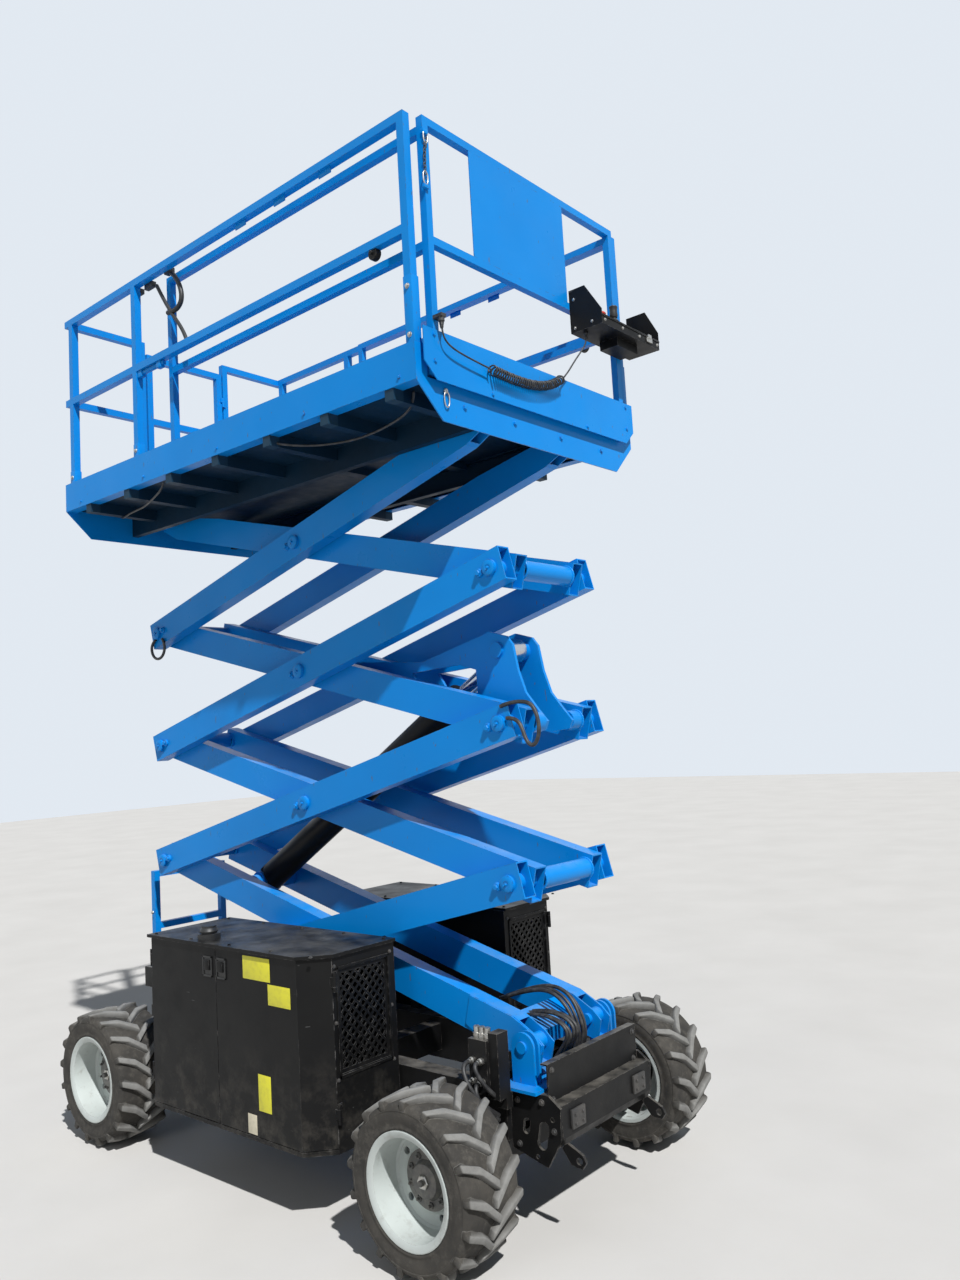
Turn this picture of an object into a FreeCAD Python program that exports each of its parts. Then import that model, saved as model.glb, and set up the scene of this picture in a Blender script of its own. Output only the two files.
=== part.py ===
import FreeCAD, Part
import math
import os

V = FreeCAD.Vector

# Rough-terrain scissor lift, raised a little, in millimetres.
# X runs forward to the steered wheels, Y to the left side, Z up from the ground.
# X = 0 is half way between the axles and Y = 0 is the centre plane.

# Wheels and tyres
wheelbase = 2300.0
wheel_centre_y = 724.0
tyre_radius = 333.0
tyre_width = 300.0
tyre_bead_radius = 190.3
tyre_bead_inset = 12.0
tyre_shoulder_radius = 292.0
tyre_side_crown = 14.0
rim_radius = 190.0
rim_flange_radius = 212.0
rim_wall = 8.0
rim_disc_depth = 150.0
rim_disc_wall = 14.0
hub_radius = 78.0
hub_length = 46.0
spindle_radius = 38.0
bore_clearance = 0.05
axle_x = wheelbase / 2.0
axle_z = tyre_radius

# Steering
kingpin_y = 540.0
kingpin_radius = 22.0
kingpin_half_height = 118.0
yoke_ear = 18.0
yoke_half_width = 48.0
knuckle_half_height = 90.0
steer_arm_reach = 170.0
steer_arm_wall = 20.0
steer_arm_z = 318.0
steer_pin_y = 532.0
steer_eye_radius = 20.0
hub_flange_radius = 94.0
hub_motor_radius = 90.0
tie_rod_radius = 16.0
tie_rod_z = 285.0
tie_cylinder_radius = 34.0
tie_cylinder_half = 200.0

# Scissor stack
levels = 4
arm_length = 2645.0
arm_angle = 14.39
arm_depth = 150.0
arm_width = 75.0
arm_wall = 6.0
arm_overhang = 66.0
arm_side_gap = 6.0
outer_arm_face_y = 326.0
front_column_x = 1274.0
base_pin_z = 715.0
pin_radius = 24.0
pin_head_radius = 36.0
pin_head = 14.0
boss_radius = 36.0
cross_tube_radius = 44.0
cross_tube_wall = 6.0
cross_tube_inset = 34.0
deck_boss_radius = 46.0
top_taper_length = 520.0
top_bevel_length = 120.0
top_end_radius = 48.0

# Lift cylinder, from inner pair 1 to inner pair 3
cylinder_base_along = 2100.0
cylinder_eye_along = 250.0
cylinder_eye_above = 277.0
barrel_radius = 75.0
barrel_wall = 12.0
barrel_length = 1800.0
barrel_cap = 60.0
rod_radius = 42.0
rod_length = 1650.0
eye_radius = 55.0
eye_half_width = 45.0
eye_pin_radius = 26.0
ear_wall = 16.0
ear_gap = 1.0
ear_radius = 58.0
bracket_y_in = 84.0
bracket_y_out = 100.0
spacer_radius = 45.0
bracket_reach = 1180.0

# Chassis
rail_y_in = 275.0
rail_y_out = 362.0
rail_z_low = 360.0
rail_z_high = 560.0
chassis_rear_x = -1400.0
nose_rear_x = 1226.0
half_length = 1560.0
cross_member_width = 90.0
guide_y_in = 332.0
guide_y_out = 368.0
guide_wall = 8.0
guide_rear_x = -1450.0
guide_front_x = 100.0
roller_radius = 46.0
roller_play = 1.0
roller_y_in = 336.0
roller_y_out = 355.0
pivot_plate_wall = 12.0
pivot_plate_half = 58.0
pivot_plate_near_y = 256.0
pivot_plate_far_y = 288.0
doubler_wall = 6.0

# Side boxes
box_rear_x = -570.0
box_front_x = 640.0
box_inner_y = 386.0
box_outer_y = 850.0
box_low_z = 310.0
box_high_z = 1100.0
box_chamfer = 105.0
box_wall = 12.0
door_wall = 24.0
door_gap = 4.0
door_seam_x = -38.0
lid_wall = 14.0
lid_lap = 14.0
grille_y_in = 430.0
grille_y_out = 715.0
grille_z_low = 620.0
grille_z_high = 1040.0
grille_bar = 7.0
grille_pitch = 42.0
hinge_barrel_radius = 9.0
hinge_pin_radius = 5.0
hinge_heights = (430.0, 960.0)

# Platform
deck_rear_x = -1470.0
deck_front_x = 1334.0
deck_half_width = 780.0
deck_side_wall = 5.0
deck_side_low_z = 3389.0
deck_side_high_z = 3545.0
deck_end_low_z = 3247.0
deck_end_half = 632.0
deck_end_wall = 6.0
deck_floor_z = 3402.0
deck_floor_wall = 8.0
tread_sheet_wall = 3.0
tread_sheet_gap = 8.0
tread_sheet_half_width = 730.0
deck_flange = 60.0
deck_beam_y_in = 332.0
deck_beam_y_out = 370.0
deck_beam_wall = 8.0
outrigger_depth = 60.0
outrigger_width = 50.0
runner_y_in = 610.0
runner_y_out = 670.0
runner_play = 0.3
rail_tube = 38.0
top_rail_z = 4510.0
mid_rail_z = 4020.0
front_post_x = 1308.0
gate_x = -1440.0
gate_post_y = 300.0
gate_play = 10.0
gate_hinge_pin = 4.0
gate_hinge_z = (3700.0, 4250.0)

# Extension deck
extension_rear_x = -560.0
extension_front_x = 1366.0
extension_half_width = 700.0
extension_floor_z = 3440.0
extension_floor_wall = 12.0
extension_kick_high_z = 3602.0
extension_kick_wall = 5.0
extension_top_rail_z = 4455.0
extension_mid_rail_z = 3965.0
extension_rail_tube = 34.0
control_tray_z = 3850.0

# Control cord
cord_radius = 5.0
cord_coil_radius = 22.0
cord_x = extension_front_x + 27.0
cord_end_x = cord_x + 34.0
cord_end_y = 298.0
cord_gland_radius = 11.0
cord_gland_length = 16.0
arc_share = 0.45

# Worked-out places
angle = math.radians(arm_angle)
level_rise = arm_length * math.sin(angle)
arm_span = arm_length * math.cos(angle)
rear_column_x = front_column_x - arm_span
top_pin_z = base_pin_z + levels * level_rise
outer_arm_y_in = outer_arm_face_y - arm_width
inner_arm_y_out = outer_arm_y_in - arm_side_gap
inner_arm_y_in = inner_arm_y_out - arm_width
gate_hinge_x = gate_x + rail_tube / 2.0 + 6.0
gate_hinge_y = gate_post_y - rail_tube / 2.0 - gate_play / 2.0
guide_half_height = roller_radius + roller_play + guide_wall
rear_hinge = (box_rear_x - 8.0, -(box_outer_y - 8.0))
front_hinge = (box_front_x + 11.0, -(box_outer_y - box_chamfer - 3.0))
deck_beam_low_z = top_pin_z - roller_radius - roller_play - deck_beam_wall

nodes = {}


def box(x0, x1, y0, y1, z0, z1):
    return Part.makeBox(x1 - x0, y1 - y0, z1 - z0, V(x0, y0, z0))


def cyl(radius, start, end):
    a, b = V(*start), V(*end)
    return Part.makeCylinder(radius, (b - a).Length, a, b - a)


def tube(radius, inner_radius, start, end):
    return cyl(radius, start, end).cut(cyl(inner_radius, start, end))


def prism(points, direction):
    wire = Part.makePolygon([V(*p) for p in points] + [V(*points[0])])
    return Part.Face(wire).extrude(V(*direction))


def profile_y(points, y0, y1):
    return prism([(x, y0, z) for x, z in points], (0, y1 - y0, 0))


def profile_z(points, z0, z1):
    return prism([(x, y, z0) for x, y in points], (0, 0, z1 - z0))


def profile_x(points, x0, x1):
    return prism([(x0, y, z) for y, z in points], (x1 - x0, 0, 0))


def fuse(shapes):
    shapes = list(shapes)
    if len(shapes) == 1:
        return shapes[0]
    return shapes[0].multiFuse(shapes[1:]).removeSplitter()


def mirror_y(shape):
    return shape.mirror(V(0, 0, 0), V(0, 1, 0))


def both_sides(shape):
    return Part.makeCompound([shape, mirror_y(shape)])


def keep(name, shape):
    nodes[name] = shape


def square_tube_y(x, z, y0, y1, size):
    half = size / 2.0
    return box(x - half, x + half, y0, y1, z - half, z + half)


# Wheels
def tyre(side):
    half = tyre_width / 2.0
    y = side * wheel_centre_y
    points = [
        (-half + tyre_bead_inset, tyre_bead_radius),
        (-half + tyre_bead_inset, rim_flange_radius + 2.0),
        (-half, rim_flange_radius + 14.0),
        (-half, tyre_shoulder_radius),
        (-half + tyre_side_crown, tyre_radius - 12.0),
        (-half + tyre_side_crown + 22.0, tyre_radius),
        (half - tyre_side_crown - 22.0, tyre_radius),
        (half - tyre_side_crown, tyre_radius - 12.0),
        (half, tyre_shoulder_radius),
        (half, rim_flange_radius + 14.0),
        (half - tyre_bead_inset, rim_flange_radius + 2.0),
        (half - tyre_bead_inset, tyre_bead_radius),
    ]
    wire = Part.makePolygon([V(0, y + a, r) for a, r in points + points[:1]])
    return Part.Face(wire).revolve(V(0, y, 0), V(0, 1, 0), 360)


def rim(side):
    half = tyre_width / 2.0
    y = side * wheel_centre_y
    flange = half - 4.0
    disc_out = half - rim_disc_depth + rim_disc_wall
    disc_in = half - rim_disc_depth
    hub_out = disc_in + hub_length
    bore_end = hub_out - 12.0
    points = [
        (disc_in, spindle_radius + bore_clearance),
        (disc_in, rim_radius - rim_wall),
        (-flange, rim_radius - rim_wall),
        (-flange, rim_flange_radius),
        (-flange + 7.0, rim_flange_radius),
        (-flange + 7.0, rim_radius),
        (flange - 7.0, rim_radius),
        (flange - 7.0, rim_flange_radius),
        (flange, rim_flange_radius),
        (flange, rim_radius - rim_wall),
        (disc_out, rim_radius - rim_wall),
        (disc_out, hub_radius),
        (hub_out, hub_radius - 8.0),
        (hub_out, 0.0),
        (bore_end, 0.0),
        (bore_end, spindle_radius + bore_clearance),
    ]
    wire = Part.makePolygon([V(0, y + side * a, r) for a, r in points + points[:1]])
    return Part.Face(wire).revolve(V(0, y, 0), V(0, 1, 0), 360)


def place_wheel(shape, x):
    shape = shape.copy()
    shape.translate(V(x, 0, axle_z))
    return shape


# name, end of the machine, side
wheel_table = [
    ("front_right", 1, -1),
    ("front_left", 1, 1),
    ("rear_right", -1, -1),
    ("rear_left", -1, 1),
]
for wheel_name, end, side in wheel_table:
    keep("tyre_" + wheel_name, place_wheel(tyre(side), end * axle_x))
    keep("rim_" + wheel_name, place_wheel(rim(side), end * axle_x))

disc_inner_y = wheel_centre_y + tyre_width / 2.0 - rim_disc_depth
spindle_end_y = disc_inner_y + hub_length - 13.0


# Steering knuckles, axles and tie rod
def knuckle(side):
    kp = kingpin_y
    pin = cyl(kingpin_radius, (axle_x, kp, axle_z - kingpin_half_height - yoke_ear),
              (axle_x, kp, axle_z + kingpin_half_height + yoke_ear))
    low, high = axle_z - knuckle_half_height, axle_z + knuckle_half_height
    body = fuse([cyl(42, (axle_x, kp, low), (axle_x, kp, high)), box(axle_x - 46, axle_x + 46, kp, kp + 34, low, high)])
    flange = cyl(hub_flange_radius, (axle_x, kp + 34, axle_z), (axle_x, kp + 52, axle_z))
    motor = cyl(hub_motor_radius, (axle_x, kp + 52, axle_z), (axle_x, disc_inner_y - 6, axle_z))
    spindle = cyl(spindle_radius, (axle_x, disc_inner_y - 6, axle_z), (axle_x, spindle_end_y, axle_z))
    tail = axle_x - steer_arm_reach - 24
    arm = profile_z([(axle_x, kp + 26), (axle_x, kp), (axle_x - 40, kp + 2), (tail, steer_pin_y - 20),
                     (tail, steer_pin_y + 24)], steer_arm_z, steer_arm_z + steer_arm_wall)
    shape = fuse([pin, body, flange, motor, spindle, arm])
    return shape if side > 0 else mirror_y(shape)


keep("knuckle_left", knuckle(1))
keep("knuckle_right", knuckle(-1))


def front_axle():
    beam_low, beam_high = axle_z - 60.0, rail_z_low
    beam_end = kingpin_y - 52.0
    parts = [box(axle_x - 60, axle_x + 60, -beam_end, beam_end, beam_low, beam_high)]
    for side in (1, -1):
        y0, y1 = sorted((side * (beam_end - 36), side * (kingpin_y + yoke_half_width)))
        for low in (axle_z - kingpin_half_height, axle_z + kingpin_half_height - yoke_ear):
            ear = box(axle_x - yoke_half_width, axle_x + yoke_half_width, y0, y1, low, low + yoke_ear)
            bore = cyl(kingpin_radius + bore_clearance, (axle_x, side * kingpin_y, low - 5),
                       (axle_x, side * kingpin_y, low + yoke_ear + 5))
            parts.append(ear.cut(bore))
        y2, y3 = sorted((side * (beam_end - 36), side * beam_end))
        parts.append(box(axle_x - yoke_half_width, axle_x + yoke_half_width, y2, y3,
                         axle_z - kingpin_half_height, axle_z + kingpin_half_height))
    rod_x = axle_x - steer_arm_reach
    parts.append(tube(tie_cylinder_radius, tie_rod_radius + bore_clearance, (rod_x, -tie_cylinder_half, tie_rod_z),
                      (rod_x, tie_cylinder_half, tie_rod_z)))
    for y in (-tie_cylinder_half + 30, tie_cylinder_half - 60):
        parts.append(box(rod_x + 20, axle_x - 50, y, y + 30, tie_rod_z - 12, tie_rod_z + 34))
    return fuse(parts)


keep("front_axle", front_axle())


def tie_rod():
    rod_x = axle_x - steer_arm_reach
    rod = cyl(tie_rod_radius, (rod_x, -steer_pin_y, tie_rod_z), (rod_x, steer_pin_y, tie_rod_z))
    eyes = [cyl(steer_eye_radius, (rod_x, s * steer_pin_y, tie_rod_z - 20), (rod_x, s * steer_pin_y, steer_arm_z - 2.0))
            for s in (1, -1)]
    return fuse([rod] + eyes)


keep("tie_rod", tie_rod())


def rear_axle():
    parts = [box(-axle_x - 55, -axle_x + 55, -420, 420, axle_z - 50, rail_z_low)]
    for side in (1, -1):
        parts.append(cyl(110, (-axle_x, side * 400.0, axle_z), (-axle_x, side * 440.0, axle_z)))
        parts.append(cyl(84, (-axle_x, side * 420.0, axle_z), (-axle_x, side * (disc_inner_y - 6.0), axle_z)))
        parts.append(cyl(spindle_radius, (-axle_x, side * (disc_inner_y - 6.0), axle_z),
                         (-axle_x, side * spindle_end_y, axle_z)))
    return fuse(parts)


keep("rear_axle", rear_axle())


# Chassis
def chassis_frame():
    parts = []
    for side in (1, -1):
        y0, y1 = sorted((side * rail_y_in, side * rail_y_out))
        parts.append(box(chassis_rear_x, nose_rear_x, y0, y1, rail_z_low, rail_z_high))
    for x in (chassis_rear_x, -620.0, 180.0, axle_x - 200.0, nose_rear_x - cross_member_width):
        parts.append(box(x, x + cross_member_width, -rail_y_in - 1, rail_y_in + 1, rail_z_low + 40, rail_z_high - 30))
    for side in (1, -1):
        for x in (box_rear_x + 60.0, box_front_x - 160.0):
            y0, y1 = sorted((side * rail_y_out, side * box_inner_y))
            parts.append(box(x, x + 100, y0, y1, rail_z_low, rail_z_high - 40))
    return fuse(parts)


keep("chassis_frame", chassis_frame())


def front_nose():
    """Nose below the pivots: two pierced side plates, a cover plate, a lower plate and lashing lugs."""
    outline = [(nose_rear_x, 330), (1400, 285), (1470, 400), (1476, 520), (1420, 560), (nose_rear_x, 560)]
    # centre x, centre z, radius, slot rise, slot lean
    holes = [(1378, 372, 24, 62, 14), (1300, 410, 16, 32, 6), (1434, 473, 9, 0, 0), (1352, 318, 9, 0, 0)]
    parts = []
    for side in (1, -1):
        y0, y1 = sorted((side * 322.0, side * 334.0))
        plate = profile_y(outline, y0, y1)
        for x, z, r, rise, lean in holes:
            cutter = cyl(r, (x, y0 - 1, z), (x, y1 + 1, z))
            if rise:
                cutter = fuse([cutter, cyl(r, (x + lean, y0 - 1, z + rise), (x + lean, y1 + 1, z + rise)),
                               profile_y([(x - r, z), (x + r, z), (x + lean + r, z + rise), (x + lean - r, z + rise)],
                                         y0 - 1, y1 + 1)])
            plate = plate.cut(cutter)
        parts.append(plate)
    parts.append(profile_y([(1446, 372), (1456, 372), (1474, 404), (1474, 528), (1464, 528), (1464, 404)], -322, 322))
    parts.append(box(1408, 1414, -322, 322, 490, 675))
    parts.append(box(1380, 1408, -322, 322, 669, 675))
    parts.append(box(nose_rear_x, 1408, -322, 322, 552, 560))
    parts.append(box(1408, 1466, -322, 322, 520, 528))
    for side in (1, -1):
        y0, y1 = sorted((side * 290.0, side * 302.0))
        lug = profile_y([(1456, 372), (1476, 384), (half_length - 14, 352), (half_length, 326), (half_length - 18, 300),
                         (1490, 306), (1450, 360)], y0, y1)
        parts.append(lug.cut(cyl(14, (half_length - 30, y0 - 1, 328), (half_length - 30, y1 + 1, 328))))
    return fuse(parts)


keep("front_nose", front_nose())


def pivot_brackets():
    parts = []
    z = base_pin_z
    for side in (1, -1):
        for face in (pivot_plate_near_y, pivot_plate_far_y):
            y0, y1 = sorted((side * face, side * (face + pivot_plate_wall)))
            upright = box(front_column_x - pivot_plate_half, front_column_x + pivot_plate_half, y0, y1, rail_z_high, z)
            parts.append(fuse([upright, cyl(pivot_plate_half, (front_column_x, y0, z), (front_column_x, y1, z))]))
        y2, y3 = sorted((side * (inner_arm_y_in - 20.0), side * (pivot_plate_far_y + pivot_plate_wall + 10.0)))
        parts.append(cyl(pin_radius, (front_column_x, y2, z), (front_column_x, y3, z)))
    parts.append(box(front_column_x - 90, front_column_x + 106, -rail_y_out, rail_y_out, rail_z_high, rail_z_high + 12))
    return fuse(parts)


keep("pivot_brackets", pivot_brackets())


def channel_rail(x0, x1, y_in, y_out, z_low, z_high, wall):
    outer = box(x0, x1, y_in, y_out, z_low, z_high)
    return outer.cut(box(x0 - 1, x1 + 1, y_in - 1, y_out - wall, z_low + wall, z_high - wall))


def slide_guides():
    one = channel_rail(guide_rear_x, guide_front_x, guide_y_in, guide_y_out, base_pin_z - guide_half_height,
                       base_pin_z + guide_half_height, guide_wall)
    parts = [one]
    for x in (guide_rear_x + 60, -1050.0, -600.0, -200.0, guide_front_x - 100):
        parts.append(box(x, x + 60, guide_y_in + 2, rail_y_out, rail_z_high, base_pin_z - guide_half_height))
    return both_sides(fuse(parts))


keep("slide_guides", slide_guides())


def ladder():
    x0, x1 = -half_length, -half_length + 36.0
    parts = []
    for side in (1, -1):
        y0, y1 = sorted((side * 212.0, side * 248.0))
        parts.append(box(x0, x1, y0, y1, 330, 1290))
    for z in (330.0, 640.0, 950.0, 1254.0):
        parts.append(box(x0, x1, -212, 212, z, z + 36))
    for z in (400.0, 500.0):
        for side in (1, -1):
            y0, y1 = sorted((side * 216.0, side * 244.0))
            parts.append(box(x1, chassis_rear_x, y0, y1, z, z + 30))
    parts.append(box(chassis_rear_x - 12, chassis_rear_x, -rail_y_in, rail_y_in, 390, 540))
    return fuse(parts)


keep("ladder", ladder())


# Side boxes, modelled on the right side and mirrored to the left
def box_outline(inset, inner=0.0):
    y_out = -(box_outer_y - inset)
    return [(box_rear_x + inset, -(box_inner_y + inner)), (box_rear_x + inset, y_out),
            (box_front_x - box_chamfer - 0.4 * inset, y_out),
            (box_front_x - inset, -(box_outer_y - box_chamfer - 0.4 * inset)),
            (box_front_x - inset, -(box_inner_y + inner))]


def box_shell():
    solid = profile_z(box_outline(0.0), box_low_z, box_high_z)
    inside = profile_z(box_outline(box_wall, box_wall), box_low_z + box_wall, box_high_z + 1)
    shell = solid.cut(inside)
    doorway = profile_z([(box_rear_x - 1, -(box_outer_y - door_wall - door_gap)),
                         (box_front_x - box_chamfer - 11.0, -(box_outer_y - door_wall - door_gap)),
                         (box_front_x - door_wall - 11.0, -(box_outer_y - box_chamfer)),
                         (box_front_x + 1, -(box_outer_y - box_chamfer - 1.0)),
                         (box_front_x + 1, -(box_outer_y + 1)), (box_rear_x - 1, -(box_outer_y + 1))],
                        box_low_z + box_wall + 6, box_high_z + 2)
    shell = shell.cut(doorway)
    vent = box(box_front_x - box_wall - 1, box_front_x + 1, -grille_y_out, -grille_y_in, grille_z_low, grille_z_high)
    x, y = rear_hinge
    rear_leaf = [(x + 4, y - 3), (x + 8, y - 3), (x + 8, y + 50), (x + 4, y + 50)]
    u, v = front_hinge
    front_leaf = [(u - 11, v + 2), (u - 7, v - 2), (u - 7, v + 22), (u - 11, v + 22)]
    return fuse([shell.cut(vent)] + hinge_set(x, y, rear_leaf, False) + hinge_set(u, v, front_leaf, False))


def box_lid():
    outline = [(box_rear_x - lid_lap, -box_inner_y), (box_rear_x - lid_lap, -(box_outer_y + lid_lap)),
               (box_front_x - box_chamfer + 6.0, -(box_outer_y + lid_lap)),
               (box_front_x + lid_lap, -(box_outer_y - box_chamfer + 6.0)), (box_front_x + lid_lap, -box_inner_y)]
    return profile_z(outline, box_high_z, box_high_z + lid_wall)


def hinge_set(x, y, leaf, on_door):
    """Knuckles of two hinges on an upright pin at x, y; leaf is the plan outline that joins them to a panel."""
    parts = []
    for z in hinge_heights:
        spans = [(z + 20.5, z + 59.5)] if on_door else [(z, z + 20), (z + 60, z + 80)]
        for low, high in spans:
            knuckle_part = fuse([cyl(hinge_barrel_radius, (x, y, low), (x, y, high)), profile_z(leaf, low, high)])
            parts.append(knuckle_part.cut(cyl(hinge_pin_radius + bore_clearance, (x, y, low), (x, y, high)))
                         if on_door else knuckle_part)
        if not on_door:
            parts.append(cyl(hinge_pin_radius, (x, y, z), (x, y, z + 80)))
    return parts


def rear_door():
    panel = box(box_rear_x + 2, door_seam_x - 2, -box_outer_y, -(box_outer_y - door_wall), box_low_z + box_wall + 10,
                box_high_z - 4)
    x, y = rear_hinge
    leaf = [(x, y - 8), (x + 14, y - 8), (x + 14, y + 8), (x, y + 8)]
    return fuse([panel] + hinge_set(x, y, leaf, True))


def front_door():
    points = [(door_seam_x + 2, -box_outer_y), (box_front_x - box_chamfer, -box_outer_y),
              (box_front_x, -(box_outer_y - box_chamfer)),
              (box_front_x - door_wall - 4, -(box_outer_y - box_chamfer)),
              (box_front_x - box_chamfer - 10, -(box_outer_y - door_wall)), (door_seam_x + 2, -(box_outer_y - door_wall))]
    panel = profile_z(points, box_low_z + box_wall + 10, box_high_z - 4)
    x, y = front_hinge
    leaf = [(x - 20, y - 10), (x, y - 9), (x, y - 4), (x - 20, y - 4)]
    return fuse([panel] + hinge_set(x, y, leaf, True))


def box_grille():
    frame = box(box_front_x - box_wall, box_front_x - box_wall + 6, -grille_y_out, -grille_y_in, grille_z_low, grille_z_high)
    inner = box(box_front_x - box_wall - 1, box_front_x, -grille_y_out + 16, -grille_y_in - 16, grille_z_low + 16,
                grille_z_high - 16)
    parts = [frame.cut(inner)]
    width = grille_y_out - grille_y_in
    height = grille_z_high - grille_z_low
    count = int((width + height) / grille_pitch)
    window = box(box_front_x - box_wall + 1, box_front_x - box_wall + 5, -grille_y_out + 8, -grille_y_in - 8,
                 grille_z_low + 8, grille_z_high - 8)
    for lean in (1, -1):
        for i in range(1, count + 1):
            mid = i * grille_pitch - (width + height) / 2.0
            y = -(grille_y_in + grille_y_out) / 2.0
            z = (grille_z_low + grille_z_high) / 2.0 + mid
            reach = width
            x0 = box_front_x - box_wall + 1
            bar = profile_x([(y - reach, z - lean * reach - grille_bar), (y + reach, z + lean * reach - grille_bar),
                             (y + reach, z + lean * reach + grille_bar), (y - reach, z - lean * reach + grille_bar)],
                            x0, x0 + 4)
            bar = bar.common(window)
            if bar.Volume > 10.0:
                parts.append(bar)
    return fuse(parts)


shell = box_shell()
grille = box_grille()
keep("engine_box", shell)
keep("engine_lid", box_lid())
keep("engine_door_rear", rear_door())
keep("engine_door_front", front_door())
keep("engine_grille", grille)
keep("engine_block", box(-380, 330, -740, -440, box_low_z + box_wall, 900))
keep("tank_box", mirror_y(shell))
keep("tank_lid", mirror_y(box_lid()))
keep("tank_door_rear", mirror_y(rear_door()))
keep("tank_door_front", mirror_y(front_door()))
keep("tank_grille", mirror_y(grille))
keep("beacon", fuse([cyl(52, (-170, -790, box_high_z + lid_wall), (-170, -790, box_high_z + lid_wall + 26)),
                     cyl(34, (-170, -790, box_high_z + lid_wall + 26), (-170, -790, box_high_z + lid_wall + 62))]))
keep("valve_unit", fuse([box(1120, 1215, -455, -385, 560, 770), box(1215, 1262, -440, -372, 545, 800),
                         box(1100, 1262, -400, -rail_y_out, 500, 560)]))


# Scissor arms
def arm_box(depth, width, length_from, length_to, wall):
    outer = box(length_from, length_to, -width / 2.0, width / 2.0, -depth / 2.0, depth / 2.0)
    inner = box(length_from - 1, length_to + 1, -width / 2.0 + wall, width / 2.0 - wall, -depth / 2.0 + wall,
                depth / 2.0 - wall)
    return outer.cut(inner)


def arm(pivot_ends, tapered_end=None):
    body = arm_box(arm_depth, arm_width, -arm_overhang, arm_length + arm_overhang, arm_wall)
    half = arm_depth / 2.0
    if tapered_end is not None:
        far = tapered_end + arm_overhang + 1.0
        start = tapered_end - top_taper_length
        above = profile_y([(start, half), (tapered_end, top_end_radius), (far, top_end_radius), (far, half + 1),
                           (start, half + 1)], -arm_width, arm_width)
        beyond = box(tapered_end, far, -arm_width, arm_width, -half - 1, half + 1)
        bevel_start = tapered_end - top_bevel_length
        below = profile_y([(bevel_start, -half), (tapered_end, -top_end_radius), (far, -top_end_radius), (far, -half - 1),
                           (bevel_start, -half - 1)], -arm_width, arm_width)
        cap = profile_y([(start, half - arm_wall), (start, half), (tapered_end, top_end_radius),
                         (tapered_end, top_end_radius - arm_wall)], -arm_width / 2.0, arm_width / 2.0)
        nose = cyl(top_end_radius, (tapered_end, -arm_width / 2.0, 0), (tapered_end, arm_width / 2.0, 0))
        body = fuse([body.cut(above).cut(below).cut(beyond), cap, nose])
    for at in pivot_ends:
        body = fuse([body, cyl(boss_radius, (at, -arm_width / 2.0, 0), (at, arm_width / 2.0, 0))])
    return body


def to_world(shape, origin_x, origin_z, y, pitch_degrees, flip):
    shape = shape.copy()
    if flip:
        shape.rotate(V(0, 0, 0), V(0, 0, 1), 180)
        shape.rotate(V(0, 0, 0), V(0, 1, 0), pitch_degrees)
    else:
        shape.rotate(V(0, 0, 0), V(0, 1, 0), -pitch_degrees)
    shape.translate(V(origin_x, y, origin_z))
    return shape


def cross_tube(at, lift):
    return tube(cross_tube_radius, cross_tube_radius - cross_tube_wall, (at, -inner_arm_y_in, lift),
                (at, inner_arm_y_in, lift))


def cross_stubs(at, lift, y_in):
    return [tube(cross_tube_radius, cross_tube_radius - cross_tube_wall, (at, side * y_in, lift),
                 (at, side * inner_arm_y_in, lift)) for side in (1, -1)]


def lower_end_doublers():
    """Deep end plates and the box beam that stiffen the lowest arms at the chassis pivot."""
    outline = [(-60, 18), (-14, 46), (110, 74), (346, 74), (346, -52), (306, -64), (220, -72), (-20, -62), (-60, -20)]
    parts = []
    for side in (1, -1):
        y0, y1 = sorted((side * inner_arm_y_out, side * (inner_arm_y_out + doubler_wall)))
        parts.append(profile_y(outline, y0, y1))
    parts.append(profile_y([(36, -66), (200, -70), (190, 26), (36, 6)], -inner_arm_y_in, inner_arm_y_in))
    return parts


def inner_pair(level):
    places = [0.0, arm_length / 2.0, arm_length]
    one = arm(places, arm_length if level == levels else None)
    if level == 1:
        slope = profile_y([(116, 80), (-14, 46), (-arm_overhang - 1, 18), (-arm_overhang - 1, 80)], -arm_width, arm_width)
        one = one.cut(slope)
    y = (inner_arm_y_in + inner_arm_y_out) / 2.0
    shapes = []
    for side in (1, -1):
        piece = one.copy()
        piece.translate(V(0, side * y, 0))
        shapes.append(piece)
    if level == 1:
        shapes += lower_end_doublers() + cylinder_base_ears()
    elif level == 3:
        shapes += cross_stubs(-cross_tube_inset, 8.0, bracket_y_out) + cylinder_eye_brackets()
    else:
        shapes.append(cross_tube(-cross_tube_inset, 8.0))
    if level == levels:
        shapes.append(cross_tube(arm_length - 210.0, -20.0))
    else:
        shapes.append(cross_tube(arm_length + cross_tube_inset, 8.0))
    whole = fuse(shapes)
    for at in places:
        for side in (1, -1):
            if level == levels and at == arm_length:
                continue
            y0, y1 = side * (inner_arm_y_in - 20.0), side * (inner_arm_y_out + 20.0)
            whole = whole.cut(cyl(pin_radius + bore_clearance, (at, y0, 0), (at, y1, 0)))
    if level == levels:
        rollers = []
        for side in (1, -1):
            rollers.append(cyl(pin_radius, (arm_length, side * (inner_arm_y_out - 10.0), 0),
                               (arm_length, side * roller_y_out, 0)))
            rollers.append(cyl(roller_radius, (arm_length, side * roller_y_in, 0), (arm_length, side * roller_y_out, 0)))
        whole = fuse([whole] + rollers)
    return whole


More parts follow.
